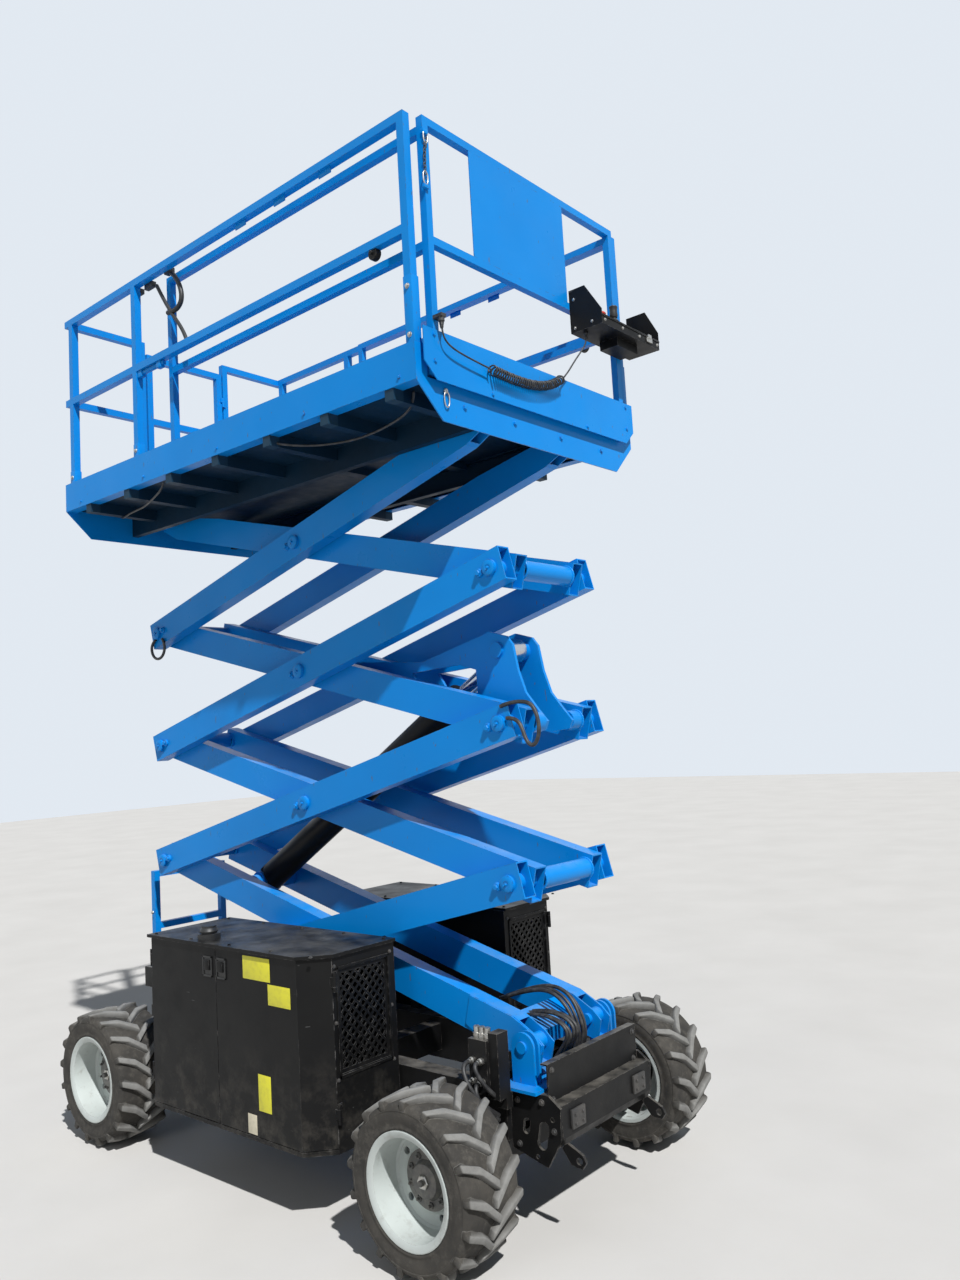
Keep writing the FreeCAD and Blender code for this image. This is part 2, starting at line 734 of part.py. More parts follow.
def cylinder_base_ears():
    at = cylinder_base_along
    y_in = eye_half_width + ear_gap
    parts = [cyl(eye_pin_radius, (at, -y_in - ear_wall, 0), (at, y_in + ear_wall, 0))]
    for side in (1, -1):
        parts.append(cyl(ear_radius, (at, side * y_in, 0), (at, side * (y_in + ear_wall), 0)))
    return parts + cross_stubs(at, 0.0, y_in + ear_wall)


def cylinder_eye_brackets():
    parts = []
    u, n = cylinder_eye_along, cylinder_eye_above
    outline = [(-70, -20), (-78, 20), (-20, 60), (60, 120), (120, 210), (170, n + 40), (u - 40, n + 70), (u + 60, n + 74),
               (700, 150), (bracket_reach, 70), (bracket_reach, -40), (900, -50), (420, -50), (160, -40), (20, -52)]
    opening = [(330, 70), (360, 170), (470, 175), (760, 85), (700, 30), (430, 50)]
    for side in (1, -1):
        y0, y1 = sorted((side * bracket_y_in, side * bracket_y_out))
        parts.append(profile_y(outline, y0, y1).cut(profile_y(opening, y0 - 1, y1 + 1)))
        parts.append(cyl(spacer_radius, (u, side * (eye_half_width + ear_gap), n), (u, side * bracket_y_in, n)))
        parts.append(cyl(pin_head_radius, (u, side * bracket_y_out, n), (u, side * (bracket_y_out + 14), n)))
    for at in (480.0, bracket_reach - 60.0):
        parts += cross_stubs(at, 0.0, bracket_y_out)
    return parts


def outer_pair(level):
    places = [0.0, arm_length / 2.0, arm_length]
    one = arm(places, arm_length if level == levels else None)
    y = (outer_arm_y_in + outer_arm_face_y) / 2.0
    shapes = []
    for side in (1, -1):
        piece = one.copy()
        piece.translate(V(0, side * y, 0))
        parts = [piece]
        for at in places:
            tip_y, head_y, head = inner_arm_y_in - 12.0, outer_arm_face_y + pin_head, pin_head_radius
            if level == levels and at == arm_length:
                tip_y, head_y, head = outer_arm_y_in + 1.0, deck_beam_y_out - deck_beam_wall - 1.0, None
            if level == 1 and at == 0.0:
                tip_y, head_y, head = outer_arm_y_in + 1.0, roller_y_out, None
                parts.append(cyl(roller_radius, (at, side * roller_y_in, 0), (at, side * roller_y_out, 0)))
            parts.append(cyl(pin_radius, (at, side * tip_y, 0), (at, side * head_y, 0)))
            if head:
                parts.append(cyl(head, (at, side * outer_arm_face_y, 0), (at, side * head_y, 0)))
        shapes.append(fuse(parts))
    return shapes


for level in range(1, levels + 1):
    low_z = base_pin_z + (level - 1) * level_rise
    keep("inner_arms_%d" % level, to_world(inner_pair(level), front_column_x, low_z, 0, arm_angle, True))
    outer = Part.makeCompound(outer_pair(level))
    keep("outer_arms_%d" % level, to_world(outer, rear_column_x, low_z, 0, arm_angle, False))


# Lift cylinder
cos_a, sin_a = math.cos(angle), math.sin(angle)


def on_inner(level, along, above):
    low_z = base_pin_z + (level - 1) * level_rise
    return (front_column_x - along * cos_a + above * sin_a, low_z + along * sin_a + above * cos_a)


base_x, base_z = on_inner(1, cylinder_base_along, 0.0)
eye_x, eye_z = on_inner(3, cylinder_eye_along, cylinder_eye_above)
cylinder_length = math.hypot(eye_x - base_x, eye_z - base_z)
cylinder_tilt = math.degrees(math.atan2(eye_z - base_z, eye_x - base_x))


def lift_barrel():
    eye = cyl(eye_radius, (0, -eye_half_width, 0), (0, eye_half_width, 0))
    body = cyl(barrel_radius, (eye_radius - 20, 0, 0), (barrel_length, 0, 0))
    hollow = cyl(barrel_radius - barrel_wall, (eye_radius + barrel_cap, 0, 0), (barrel_length - 70, 0, 0))
    neck = cyl(rod_radius + bore_clearance, (barrel_length - 80, 0, 0), (barrel_length + 1, 0, 0))
    sides = [box(-eye_radius - 5, eye_radius + 26, side * eye_half_width if side > 0 else -barrel_radius - 5,
                 barrel_radius + 5 if side > 0 else -eye_half_width, -barrel_radius, barrel_radius) for side in (1, -1)]
    shape = fuse([eye, body]).cut(hollow).cut(neck)
    for s in sides:
        shape = shape.cut(s)
    return shape.cut(cyl(eye_pin_radius + bore_clearance, (0, -100, 0), (0, 100, 0)))


def lift_rod():
    eye = cyl(eye_radius, (cylinder_length, -eye_half_width, 0), (cylinder_length, eye_half_width, 0))
    rod = cyl(rod_radius, (cylinder_length - rod_length, 0, 0), (cylinder_length - eye_radius + 20, 0, 0))
    return fuse([eye, rod])


keep("lift_cylinder_barrel", to_world(lift_barrel(), base_x, base_z, 0, cylinder_tilt, False))
keep("lift_cylinder_rod", to_world(lift_rod(), base_x, base_z, 0, cylinder_tilt, False))


# Platform
def deck_end(x0, x1):
    return profile_x([(-deck_half_width, deck_side_high_z), (-deck_half_width, deck_side_low_z),
                      (-deck_end_half, deck_end_low_z), (deck_end_half, deck_end_low_z),
                      (deck_half_width, deck_side_low_z), (deck_half_width, deck_side_high_z)], x0, x1)


def deck_sides():
    parts = []
    for side in (1, -1):
        y0, y1 = sorted((side * deck_half_width, side * (deck_half_width - deck_side_wall)))
        plate = box(deck_rear_x + deck_end_wall, deck_front_x - deck_end_wall, y0, y1, deck_side_low_z, deck_side_high_z)
        y2, y3 = sorted((side * deck_half_width, side * (deck_half_width - deck_flange)))
        parts.append(fuse([plate, box(deck_rear_x + deck_end_wall, deck_front_x - deck_end_wall, y2, y3, deck_side_low_z,
                                      deck_side_low_z + deck_side_wall)]))
    return Part.makeCompound(parts)


def deck_end_front():
    front = deck_end(deck_front_x - deck_end_wall, deck_front_x)
    return front.cut(box(deck_front_x - 20, deck_front_x + 5, -extension_half_width - 14, extension_half_width + 14,
                         deck_floor_z + deck_floor_wall, deck_side_high_z + 5))


def deck_frame():
    parts = [box(deck_rear_x + deck_end_wall, deck_front_x - deck_end_wall, -deck_half_width + deck_side_wall,
                 deck_half_width - deck_side_wall, deck_floor_z, deck_floor_z + deck_floor_wall)]
    parts.append(box(gate_x + rail_tube / 2.0 + 3.0, extension_rear_x - tread_sheet_gap, -tread_sheet_half_width,
                     tread_sheet_half_width, deck_floor_z + deck_floor_wall,
                     deck_floor_z + deck_floor_wall + tread_sheet_wall))
    for side in (1, -1):
        beam = channel_rail(deck_rear_x + deck_end_wall, deck_front_x - deck_end_wall, deck_beam_y_in, deck_beam_y_out,
                            deck_beam_low_z, deck_floor_z, deck_beam_wall)
        if side < 0:
            beam = mirror_y(beam)
        boss = tube(deck_boss_radius, pin_radius + bore_clearance, (front_column_x, side * deck_beam_y_in, top_pin_z),
                    (front_column_x, side * (deck_beam_y_out - deck_beam_wall), top_pin_z))
        parts.append(fuse([beam, boss]))
        for x in (-1250.0, -850.0, -450.0, -50.0, 350.0, 750.0, 1150.0):
            y0, y1 = sorted((side * deck_beam_y_out, side * (deck_half_width - deck_side_wall)))
            parts.append(box(x, x + outrigger_width, y0, y1, deck_floor_z - outrigger_depth, deck_side_low_z))
            y0, y1 = sorted((side * deck_beam_y_out, side * (deck_half_width - deck_flange)))
            parts.append(box(x, x + outrigger_width, y0, y1, deck_side_low_z, deck_floor_z))
        y2, y3 = sorted((side * runner_y_in, side * runner_y_out))
        parts.append(box(extension_rear_x + 20, deck_front_x - 20, y2, y3, deck_floor_z + deck_floor_wall,
                         extension_floor_z - extension_floor_wall - runner_play))
    for x in (150.0, 550.0):
        parts.append(box(x, x + 60, -deck_beam_y_in - 2, deck_beam_y_in + 2, deck_floor_z - 36, deck_floor_z))
    return fuse(parts)


keep("deck_sides", deck_sides())
keep("deck_end_front", deck_end_front())
keep("deck_end_rear", deck_end(deck_rear_x, deck_rear_x + deck_end_wall))
keep("deck_frame", deck_frame())


def rail_post(x, y, z0, z1, size):
    half = size / 2.0
    return box(x - half, x + half, y - half, y + half, z0, z1)


def rail_x(x0, x1, y, z, size):
    half = size / 2.0
    return box(x0, x1, y - half, y + half, z - half, z + half)


def main_rails():
    half = rail_tube / 2.0
    top = top_rail_z - half
    sides = []
    for side in (1, -1):
        y = side * (deck_half_width - deck_side_wall - half)
        parts = [rail_post(x, y, deck_floor_z + deck_floor_wall, top, rail_tube) for x in (-1395.0, -720.0, front_post_x)]
        parts += [rail_x(-1459.0, front_post_x + half, y, z, rail_tube) for z in (top, mid_rail_z)]
        sides.append(fuse(parts))
    return Part.makeCompound(sides)


def gate_hinges(side, lows):
    """Hinge knuckles on the inner face of the rear posts; side is the leaf's direction in Y."""
    parts = []
    for low in lows:
        y0, y1 = sorted((gate_hinge_y, gate_hinge_y + side * 18.0))
        parts.append(fuse([cyl(7, (gate_hinge_x, gate_hinge_y, low), (gate_hinge_x, gate_hinge_y, low + 30)),
                           box(gate_x + rail_tube / 2.0, gate_hinge_x, y0, y1, low, low + 30)]))
    return parts


def rear_rails():
    half = rail_tube / 2.0
    y_end = deck_half_width - deck_side_wall - rail_tube
    sides = []
    for side in (1, -1):
        y0, y1 = sorted((side * y_end, side * gate_post_y))
        parts = [box(gate_x - half, gate_x + half, y0, y1, z - half, z + half) for z in (top_rail_z - half, mid_rail_z)]
        parts.append(rail_post(gate_x, side * gate_post_y, deck_floor_z + deck_floor_wall, top_rail_z, rail_tube))
        if side > 0:
            parts += gate_hinges(1, [z - 30.5 for z in gate_hinge_z])
            parts += [cyl(gate_hinge_pin, (gate_hinge_x, gate_hinge_y, z - 30.5), (gate_hinge_x, gate_hinge_y, z + 30))
                      for z in gate_hinge_z]
        sides.append(fuse(parts))
    return Part.makeCompound(sides)


def gate():
    half = rail_tube / 2.0
    edge = gate_post_y - rail_tube - gate_play
    parts = [rail_post(gate_x, s * edge, 3480, 4440, rail_tube) for s in (1, -1)]
    parts += [box(gate_x - half, gate_x + half, -edge, edge, z - half, z + half) for z in (3499.0, mid_rail_z, 4421.0)]
    knuckles = [k.cut(cyl(gate_hinge_pin + bore_clearance, (gate_hinge_x, gate_hinge_y, z), (gate_hinge_x, gate_hinge_y, z + 30)))
                for k, z in zip(gate_hinges(-1, gate_hinge_z), gate_hinge_z)]
    return fuse(parts + knuckles)


keep("main_rails", main_rails())
keep("rear_rails", rear_rails())
keep("gate", gate())


# Extension deck
def extension_deck():
    parts = [box(extension_rear_x, extension_front_x - extension_kick_wall, -extension_half_width, extension_half_width,
                 extension_floor_z - extension_floor_wall, extension_floor_z)]
    kick = profile_x([(-extension_half_width - 60, extension_kick_high_z), (-extension_half_width - 60, 3460),
                      (-extension_half_width + 10, 3395), (extension_half_width - 10, 3395),
                      (extension_half_width + 60, 3460), (extension_half_width + 60, extension_kick_high_z)],
                     extension_front_x - extension_kick_wall, extension_front_x)
    parts.append(kick)
    for side in (1, -1):
        y0, y1 = sorted((side * extension_half_width, side * (extension_half_width - 5)))
        parts.append(box(extension_rear_x, extension_front_x - extension_kick_wall, y0, y1,
                         extension_floor_z - extension_floor_wall, extension_kick_high_z - 20))
    return fuse(parts)


def extension_rails():
    half = extension_rail_tube / 2.0
    parts = []
    x_end = extension_front_x - extension_kick_wall - half - 2
    y = extension_half_width - 5 - half
    for side in (1, -1):
        group = [rail_post(x_end, side * y, extension_floor_z, top_rail_z, extension_rail_tube),
                 rail_post(extension_rear_x + 60, side * y, extension_floor_z, extension_top_rail_z, extension_rail_tube),
                 rail_x(extension_rear_x + 60 - half, x_end, side * y, extension_top_rail_z, extension_rail_tube),
                 rail_x(extension_rear_x + 60 - half, x_end, side * y, extension_mid_rail_z, extension_rail_tube)]
        parts += group
    for z in (top_rail_z - half, extension_mid_rail_z + 20):
        parts.append(box(x_end - half, x_end + half, -y, y, z - half, z + half))
    return fuse(parts)


keep("extension_deck", extension_deck())
keep("extension_rails", extension_rails())

def sign_panel():
    x = extension_front_x - extension_kick_wall - 2
    return box(x - 4, x, -410, 263, extension_mid_rail_z + 20 + extension_rail_tube / 2.0,
               top_rail_z - extension_rail_tube)


keep("sign_panel", sign_panel())


def control_box():
    """Tray with the control housing, hung on the left front corner of the extension's end rail."""
    x0, x1 = extension_front_x - extension_kick_wall - 2, 1536.0
    y0, y1 = 275.0, 785.0
    z = control_tray_z
    back = box(x0, x0 + 4, y0, y1, z, 4030)
    tray = box(x0, x1, y0, y1, z, z + 6)
    lip = box(x1 - 4, x1, y0, y1, z, z + 40)
    cheek = profile_y([(x0, z), (x1, z), (x1, z + 70), (x0 + 90, 4060), (x0, 4060)], y0, y0 + 4)
    far_cheek = profile_y([(x0, z), (x1, z), (x1, z + 90), (x0 + 110, 4068), (x0, 4068)], y1 - 4, y1)
    housing = profile_y([(x0 + 4, z + 6), (x1 - 24, z + 6), (x1 - 24, z + 60), (x0 + 60, z + 110), (x0 + 4, z + 110)], 420, 690)
    belly = box(x0 + 30, x0 + 130, 470, 650, z - 42, z)
    stick = fuse([cyl(9, (x0 + 40, 600, z + 100), (x0 + 40, 600, z + 190)), cyl(17, (x0 + 40, 600, z + 165), (x0 + 40, 600, z + 215))])
    button = fuse([cyl(13, (x0 + 40, 480, z + 100), (x0 + 40, 480, z + 122)), cyl(21, (x0 + 40, 480, z + 122), (x0 + 40, 480, z + 138))])
    gland = cyl(cord_gland_radius, (cord_end_x, cord_end_y, z - cord_gland_length), (cord_end_x, cord_end_y, z))
    return fuse([back, tray, lip, cheek, far_cheek, housing, belly, stick, button, gland])


keep("control_box", control_box())


# Control cord, from the extension's right front post to the underside of the control box
def route_tube(points, radius):
    """Tube along straight runs joined by tangent arcs, each as large as its two runs allow."""
    corners = [V(*p) for p in points]
    edges = []
    start = corners[0]
    for before, corner, after in zip(corners, corners[1:], corners[2:]):
        shorter = min((corner - before).Length, (after - corner).Length)
        into, out = (corner - before).normalize(), (after - corner).normalize()
        reach = arc_share * shorter
        arc_start, arc_end = corner - into * reach, corner + out * reach
        bisector = (out - into).normalize()
        half_turn = into.getAngle(out) / 2.0
        bend = reach / math.tan(half_turn)
        centre = corner + bisector * (bend / math.cos(half_turn))
        print("cord bend radius %.0f mm" % bend)
        edges.append(Part.LineSegment(start, arc_start).toShape())
        edges.append(Part.Arc(arc_start, centre - bisector * bend, arc_end).toShape())
        start = arc_end
    edges.append(Part.LineSegment(start, corners[-1]).toShape())
    path = Part.Wire(edges)
    section = Part.Wire(Part.makeCircle(radius, corners[0], corners[1] - corners[0]))
    return path.makePipeShell([section], True, True)


# x, y and z of the cord's route from the gland to the control box; it hangs in front of the kick plate
cord_route = [(cord_x, -680, 3630), (cord_x, -680, 3588), (cord_x, -662, 3553), (cord_x, -618, 3533),
              (cord_x, -545, 3521), (cord_x, -450, 3511), (cord_x, -340, 3502), (cord_x, -225, 3496),
              (cord_x, -105, 3501), (cord_x, 10, 3524), (cord_x, 105, 3570), (cord_x, 178, 3630),
              (cord_x + 3, 234, 3697), (cord_x + 17, 276, 3752), (cord_end_x, cord_end_y, 3794),
              (cord_end_x, cord_end_y, control_tray_z - cord_gland_length)]


def cord_points(first, last):
    """Route points first to last; a cut falls on the middle of a run, so the pieces meet face to face."""
    places = cord_route
    inner = places[first:last + 1]
    if first > 0:
        inner.insert(0, tuple((a + b) / 2.0 for a, b in zip(places[first - 1], places[first])))
    if last < len(places) - 1:
        inner.append(tuple((a + b) / 2.0 for a, b in zip(places[last], places[last + 1])))
    return inner


keep("cord_lead", route_tube(cord_points(0, 5), cord_radius))
keep("cord_coil", route_tube(cord_points(6, 10), cord_coil_radius))
keep("cord_tail", route_tube(cord_points(11, 15), cord_radius))
keep("cord_gland", fuse([box(extension_front_x - 7, cord_x + 14, -694, -666, 3646, 3660),
                         cyl(13, (cord_x, -680, 3630), (cord_x, -680, 3646))]))

os.makedirs("parts", exist_ok=True)
for name, shape in nodes.items():
    shape.exportStep("parts/%s.step" % name)
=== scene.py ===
import bmesh
import bpy
import math
import random
from mathutils import Matrix, Vector


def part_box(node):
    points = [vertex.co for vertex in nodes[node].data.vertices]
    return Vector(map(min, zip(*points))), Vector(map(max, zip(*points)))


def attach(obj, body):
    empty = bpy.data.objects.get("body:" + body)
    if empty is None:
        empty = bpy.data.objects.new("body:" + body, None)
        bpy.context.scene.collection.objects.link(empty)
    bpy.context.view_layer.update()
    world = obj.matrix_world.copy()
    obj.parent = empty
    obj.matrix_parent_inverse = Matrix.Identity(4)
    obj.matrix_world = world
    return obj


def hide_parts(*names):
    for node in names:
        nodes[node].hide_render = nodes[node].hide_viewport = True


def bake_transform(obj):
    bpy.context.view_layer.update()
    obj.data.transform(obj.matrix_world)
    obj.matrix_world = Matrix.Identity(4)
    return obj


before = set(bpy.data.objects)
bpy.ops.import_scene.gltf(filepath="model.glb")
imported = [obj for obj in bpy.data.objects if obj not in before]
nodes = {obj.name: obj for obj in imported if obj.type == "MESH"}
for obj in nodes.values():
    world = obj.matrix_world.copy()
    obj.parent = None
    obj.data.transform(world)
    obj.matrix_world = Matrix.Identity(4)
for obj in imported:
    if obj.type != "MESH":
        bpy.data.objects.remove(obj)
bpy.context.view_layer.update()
random.seed(11)

# Places and sizes of the CAD model that the pieces sit on, in metres
AXLE_X = 1.150
WHEEL_Y = 0.724
WHEEL_Z = 0.333
RIM_PAD = 0.024
HUB_FACE = 0.046
BOX_OUTER_Y = 0.850
FRONT_COLUMN_X = 1.274
ARM_LENGTH = 2.645
ARM_ANGLE = math.radians(14.39)
ARM_FACE_Y = 0.326
INNER_Y_IN = 0.170
PIN_HEAD = 0.014
BASE_PIN_Z = 0.715
LEVELS = 4
LEVEL_RISE = ARM_LENGTH * math.sin(ARM_ANGLE)
REAR_COLUMN_X = FRONT_COLUMN_X - ARM_LENGTH * math.cos(ARM_ANGLE)
DECK_FLOOR_Z = 3.402
DECK_REAR_X = -1.470
DECK_FRONT_X = 1.334
KICK_X = 1.366
RAIL_Y = 0.756
TOP_RAIL_Z = 4.491
MID_RAIL_Z = 4.020
NOSE_COVER_X = 1.414
TYRE_LUGS = 17


# Camera at the photograph's viewpoint
def make_camera():
    place = Vector((3.9514, -3.55, 1.9879))
    yaw, pitch, roll = math.radians(40.5157), math.radians(5.393), math.radians(-3.278)
    forward = Vector((-math.sin(yaw) * math.cos(pitch), math.cos(yaw) * math.cos(pitch), math.sin(pitch)))
    right = Vector((math.cos(yaw), math.sin(yaw), 0.0))
    up = right.cross(forward)
    turned_right = right * math.cos(roll) + up * math.sin(roll)
    turned_up = up * math.cos(roll) - right * math.sin(roll)
    data = bpy.data.cameras.new("camera")
    data.lens = 28.186
    data.sensor_width = 36.0
    camera = bpy.data.objects.new("camera", data)
    bpy.context.scene.collection.objects.link(camera)
    turn = Matrix((turned_right, turned_up, -forward)).transposed()
    camera.matrix_world = Matrix.Translation(place) @ turn.to_4x4()
    bpy.context.scene.camera = camera


# Materials
class Shader:
    """A Principled material with the few node chains that the finishes share."""

    def __init__(self, name, colour, roughness, metallic=0.0):
        self.material = bpy.data.materials.new(name)
        self.material.use_nodes = True
        self.tree = self.material.node_tree
        self.bsdf = self.tree.nodes["Principled BSDF"]
        self.bsdf.inputs["Base Color"].default_value = (*colour, 1.0)
        self.bsdf.inputs["Roughness"].default_value = roughness
        self.bsdf.inputs["Metallic"].default_value = metallic
        self.colour = None
        self.colour_value = (*colour, 1.0)
        self.coords = self.node("ShaderNodeTexCoord").outputs["Object"]

    def node(self, kind, **values):
        made = self.tree.nodes.new(kind)
        for key, value in values.items():
            if hasattr(made, key):
                setattr(made, key, value)
            else:
                made.inputs[key.replace("_", " ")].default_value = value
        return made

    def link(self, out, into):
        self.tree.links.new(out, into)

    def noise(self, scale, detail=4.0, rough=0.55, stretch=(1.0, 1.0, 1.0)):
        mapping = self.node("ShaderNodeMapping")
        mapping.inputs["Scale"].default_value = stretch
        self.link(self.coords, mapping.inputs["Vector"])
        made = self.node("ShaderNodeTexNoise", Scale=scale, Detail=detail, Roughness=rough)
        self.link(mapping.outputs["Vector"], made.inputs["Vector"])
        return made.outputs["Fac"]

    def ramp(self, source, low, high, start=0.0, end=1.0):
        made = self.node("ShaderNodeMapRange")
        made.inputs["From Min"].default_value = low
        made.inputs["From Max"].default_value = high
        made.inputs["To Min"].default_value = start
        made.inputs["To Max"].default_value = end
        self.link(source, made.inputs["Value"])
        return made.outputs["Result"]

    def multiply(self, first, second):
        made = self.node("ShaderNodeMath", operation="MULTIPLY")
        self.link(first, made.inputs[0])
        self.link(second, made.inputs[1])
        return made.outputs["Value"]

    def mix(self, mask, colour):
        made = self.node("ShaderNodeMix", data_type="RGBA")
        if self.colour is None:
            made.inputs["A"].default_value = self.colour_value
        else:
            self.link(self.colour, made.inputs["A"])
        made.inputs["B"].default_value = (*colour, 1.0)
        self.link(mask, made.inputs["Factor"])
        self.colour = made.outputs["Result"]
        self.link(self.colour, self.bsdf.inputs["Base Color"])

    def rough(self, source):
        self.link(source, self.bsdf.inputs["Roughness"])

    def bump(self, source, strength, distance):
        made = self.node("ShaderNodeBump")
        made.inputs["Strength"].default_value = strength
        made.inputs["Distance"].default_value = distance
        self.link(source, made.inputs["Height"])
        if self.bsdf.inputs["Normal"].is_linked:
            self.link(self.bsdf.inputs["Normal"].links[0].from_socket, made.inputs["Normal"])
        self.link(made.outputs["Normal"], self.bsdf.inputs["Normal"])

    def upward(self):
        """1 on faces that look up, 0 on walls and undersides."""
        geometry = self.node("ShaderNodeNewGeometry")
        split = self.node("ShaderNodeSeparateXYZ")
        self.link(geometry.outputs["Normal"], split.inputs["Vector"])
        return self.ramp(split.outputs["Z"], 0.35, 0.95)

    def height(self, low, high):
        """1 at the low height fading to 0 at the high one."""
        split = self.node("ShaderNodeSeparateXYZ")
        self.link(self.coords, split.inputs["Vector"])
        return self.ramp(split.outputs["Z"], low, high, 1.0, 0.0)

    def beyond(self, reach):
        """1 farther from the centre plane than reach, 0 nearer."""
        split = self.node("ShaderNodeSeparateXYZ")
        self.link(self.coords, split.inputs["Vector"])
        size = self.node("ShaderNodeMath", operation="ABSOLUTE")
        self.link(split.outputs["Y"], size.inputs[0])
        return self.ramp(size.outputs["Value"], reach, reach + 0.003)

    def edges(self, radius):
        """1 along outer edges and corners, found by comparing the bevelled normal with the true one."""
        bevel = self.node("ShaderNodeBevel", samples=4)
        bevel.inputs["Radius"].default_value = radius
        geometry = self.node("ShaderNodeNewGeometry")
        dot = self.node("ShaderNodeVectorMath", operation="DOT_PRODUCT")
        self.link(bevel.outputs["Normal"], dot.inputs[0])
        self.link(geometry.outputs["Normal"], dot.inputs[1])
        return self.ramp(dot.outputs["Value"], 0.97, 0.80)


def blue_paint():
    s = Shader("blue_paint", (0.001, 0.235, 0.68), 0.34)
    s.mix(s.ramp(s.noise(1.3, 3), 0.35, 0.75, 0.0, 0.45), (0.002, 0.15, 0.46))
    s.mix(s.ramp(s.noise(9.0, 5, 0.7, (0.4, 0.4, 1.0)), 0.55, 0.85, 0.0, 0.22), (0.01, 0.27, 0.66))
    s.mix(s.multiply(s.upward(), s.ramp(s.noise(5.0, 6, 0.65), 0.42, 0.72, 0.0, 0.32)), (0.30, 0.33, 0.34))
    s.mix(s.multiply(s.edges(0.004), s.ramp(s.noise(38.0, 5), 0.50, 0.60)), (0.06, 0.055, 0.05))
    s.mix(s.ramp(s.noise(75.0, 2, 0.4, (1.0, 1.0, 0.25)), 0.735, 0.76, 0.0, 0.7), (0.10, 0.09, 0.08))
    s.rough(s.ramp(s.noise(6.0, 5), 0.3, 0.75, 0.26, 0.46))
    s.bump(s.noise(160.0, 2), 0.10, 0.0006)
    s.bsdf.inputs["Specular IOR Level"].default_value = 0.18
    s.bsdf.inputs["Coat Weight"].default_value = 0.06
    s.bsdf.inputs["Coat Roughness"].default_value = 0.12
    return s.material


def black_paint():
    s = Shader("black_paint", (0.0060, 0.0060, 0.0062), 0.34)
    s.mix(s.ramp(s.noise(2.2, 4), 0.4, 0.75, 0.0, 0.6), (0.011, 0.011, 0.0105))
    s.mix(s.multiply(s.upward(), s.ramp(s.noise(7.0, 6), 0.40, 0.75, 0.0, 0.40)), (0.16, 0.155, 0.145))
    s.mix(s.multiply(s.height(0.25, 0.75), s.ramp(s.noise(11.0, 6, 0.7), 0.48, 0.78, 0.0, 0.30)), (0.20, 0.18, 0.15))
    s.mix(s.multiply(s.edges(0.003), s.ramp(s.noise(30.0, 4), 0.48, 0.60, 0.0, 0.8)), (0.17, 0.165, 0.16))
    s.mix(s.ramp(s.noise(60.0, 3, 0.5, (0.12, 0.5, 1.4)), 0.735, 0.775, 0.0, 0.5), (0.12, 0.12, 0.12))
    s.rough(s.ramp(s.noise(8.0, 5), 0.3, 0.75, 0.28, 0.52))
    s.bump(s.noise(230.0, 2), 0.16, 0.0006)
    s.bsdf.inputs["Specular IOR Level"].default_value = 0.14
    return s.material


def chassis_paint():
    s = Shader("chassis_paint", (0.0075, 0.0075, 0.0078), 0.42)
    s.mix(s.ramp(s.noise(6.0, 5), 0.4, 0.75, 0.0, 0.40), (0.018, 0.017, 0.015))
    s.mix(s.multiply(s.upward(), s.ramp(s.noise(14.0, 6), 0.30, 0.68, 0.0, 0.60)), (0.20, 0.185, 0.16))
    s.mix(s.multiply(s.edges(0.003), s.ramp(s.noise(34.0, 4), 0.45, 0.58)), (0.22, 0.20, 0.18))
    s.mix(s.ramp(s.noise(26.0, 6, 0.7), 0.66, 0.76, 0.0, 0.5), (0.085, 0.045, 0.025))
    s.rough(s.ramp(s.noise(9.0, 5), 0.3, 0.75, 0.34, 0.66))
    s.bump(s.noise(120.0, 4), 0.25, 0.0012)
    s.bsdf.inputs["Specular IOR Level"].default_value = 0.20
    return s.material


def rim_paint():
    s = Shader("rim_paint", (0.47, 0.51, 0.49), 0.45)
    s.mix(s.ramp(s.noise(5.0, 5), 0.40, 0.75, 0.0, 0.45), (0.34, 0.355, 0.34))
    s.mix(s.ramp(s.noise(17.0, 7, 0.72), 0.55, 0.78, 0.0, 0.60), (0.21, 0.19, 0.165))
    s.mix(s.multiply(s.edges(0.004), s.ramp(s.noise(55.0, 4), 0.44, 0.60)), (0.16, 0.13, 0.11))
    s.rough(s.ramp(s.noise(12.0, 5), 0.3, 0.75, 0.36, 0.62))
    s.bump(s.noise(90.0, 4), 0.20, 0.001)
    return s.material


def tyre_rubber():
    s = Shader("tyre_rubber", (0.026, 0.025, 0.023), 0.86)
    s.mix(s.ramp(s.noise(4.5, 6, 0.65), 0.36, 0.66, 0.0, 0.75), (0.075, 0.068, 0.058))
    s.mix(s.ramp(s.noise(28.0, 7, 0.75), 0.50, 0.74, 0.0, 0.45), (0.15, 0.138, 0.118))
    worn = s.node("ShaderNodeAttribute", attribute_name="tread_wear").outputs["Fac"]
    s.mix(s.multiply(worn, s.ramp(s.noise(13.0, 6, 0.7), 0.25, 0.60, 0.50, 0.95)), (0.235, 0.232, 0.220))
    s.mix(s.multiply(s.edges(0.006), s.ramp(s.noise(22.0, 4), 0.40, 0.66, 0.0, 0.55)), (0.26, 0.25, 0.23))
    s.bump(s.noise(85.0, 6, 0.7), 0.55, 0.0022)
    s.bsdf.inputs["Specular IOR Level"].default_value = 0.30
    return s.material


def hose_rubber():
    s = Shader("hose_rubber", (0.016, 0.016, 0.017), 0.50)
    s.mix(s.ramp(s.noise(30.0, 5), 0.45, 0.75, 0.0, 0.55), (0.10, 0.10, 0.098))
    s.bump(s.noise(260.0, 3), 0.2, 0.0006)
    return s.material


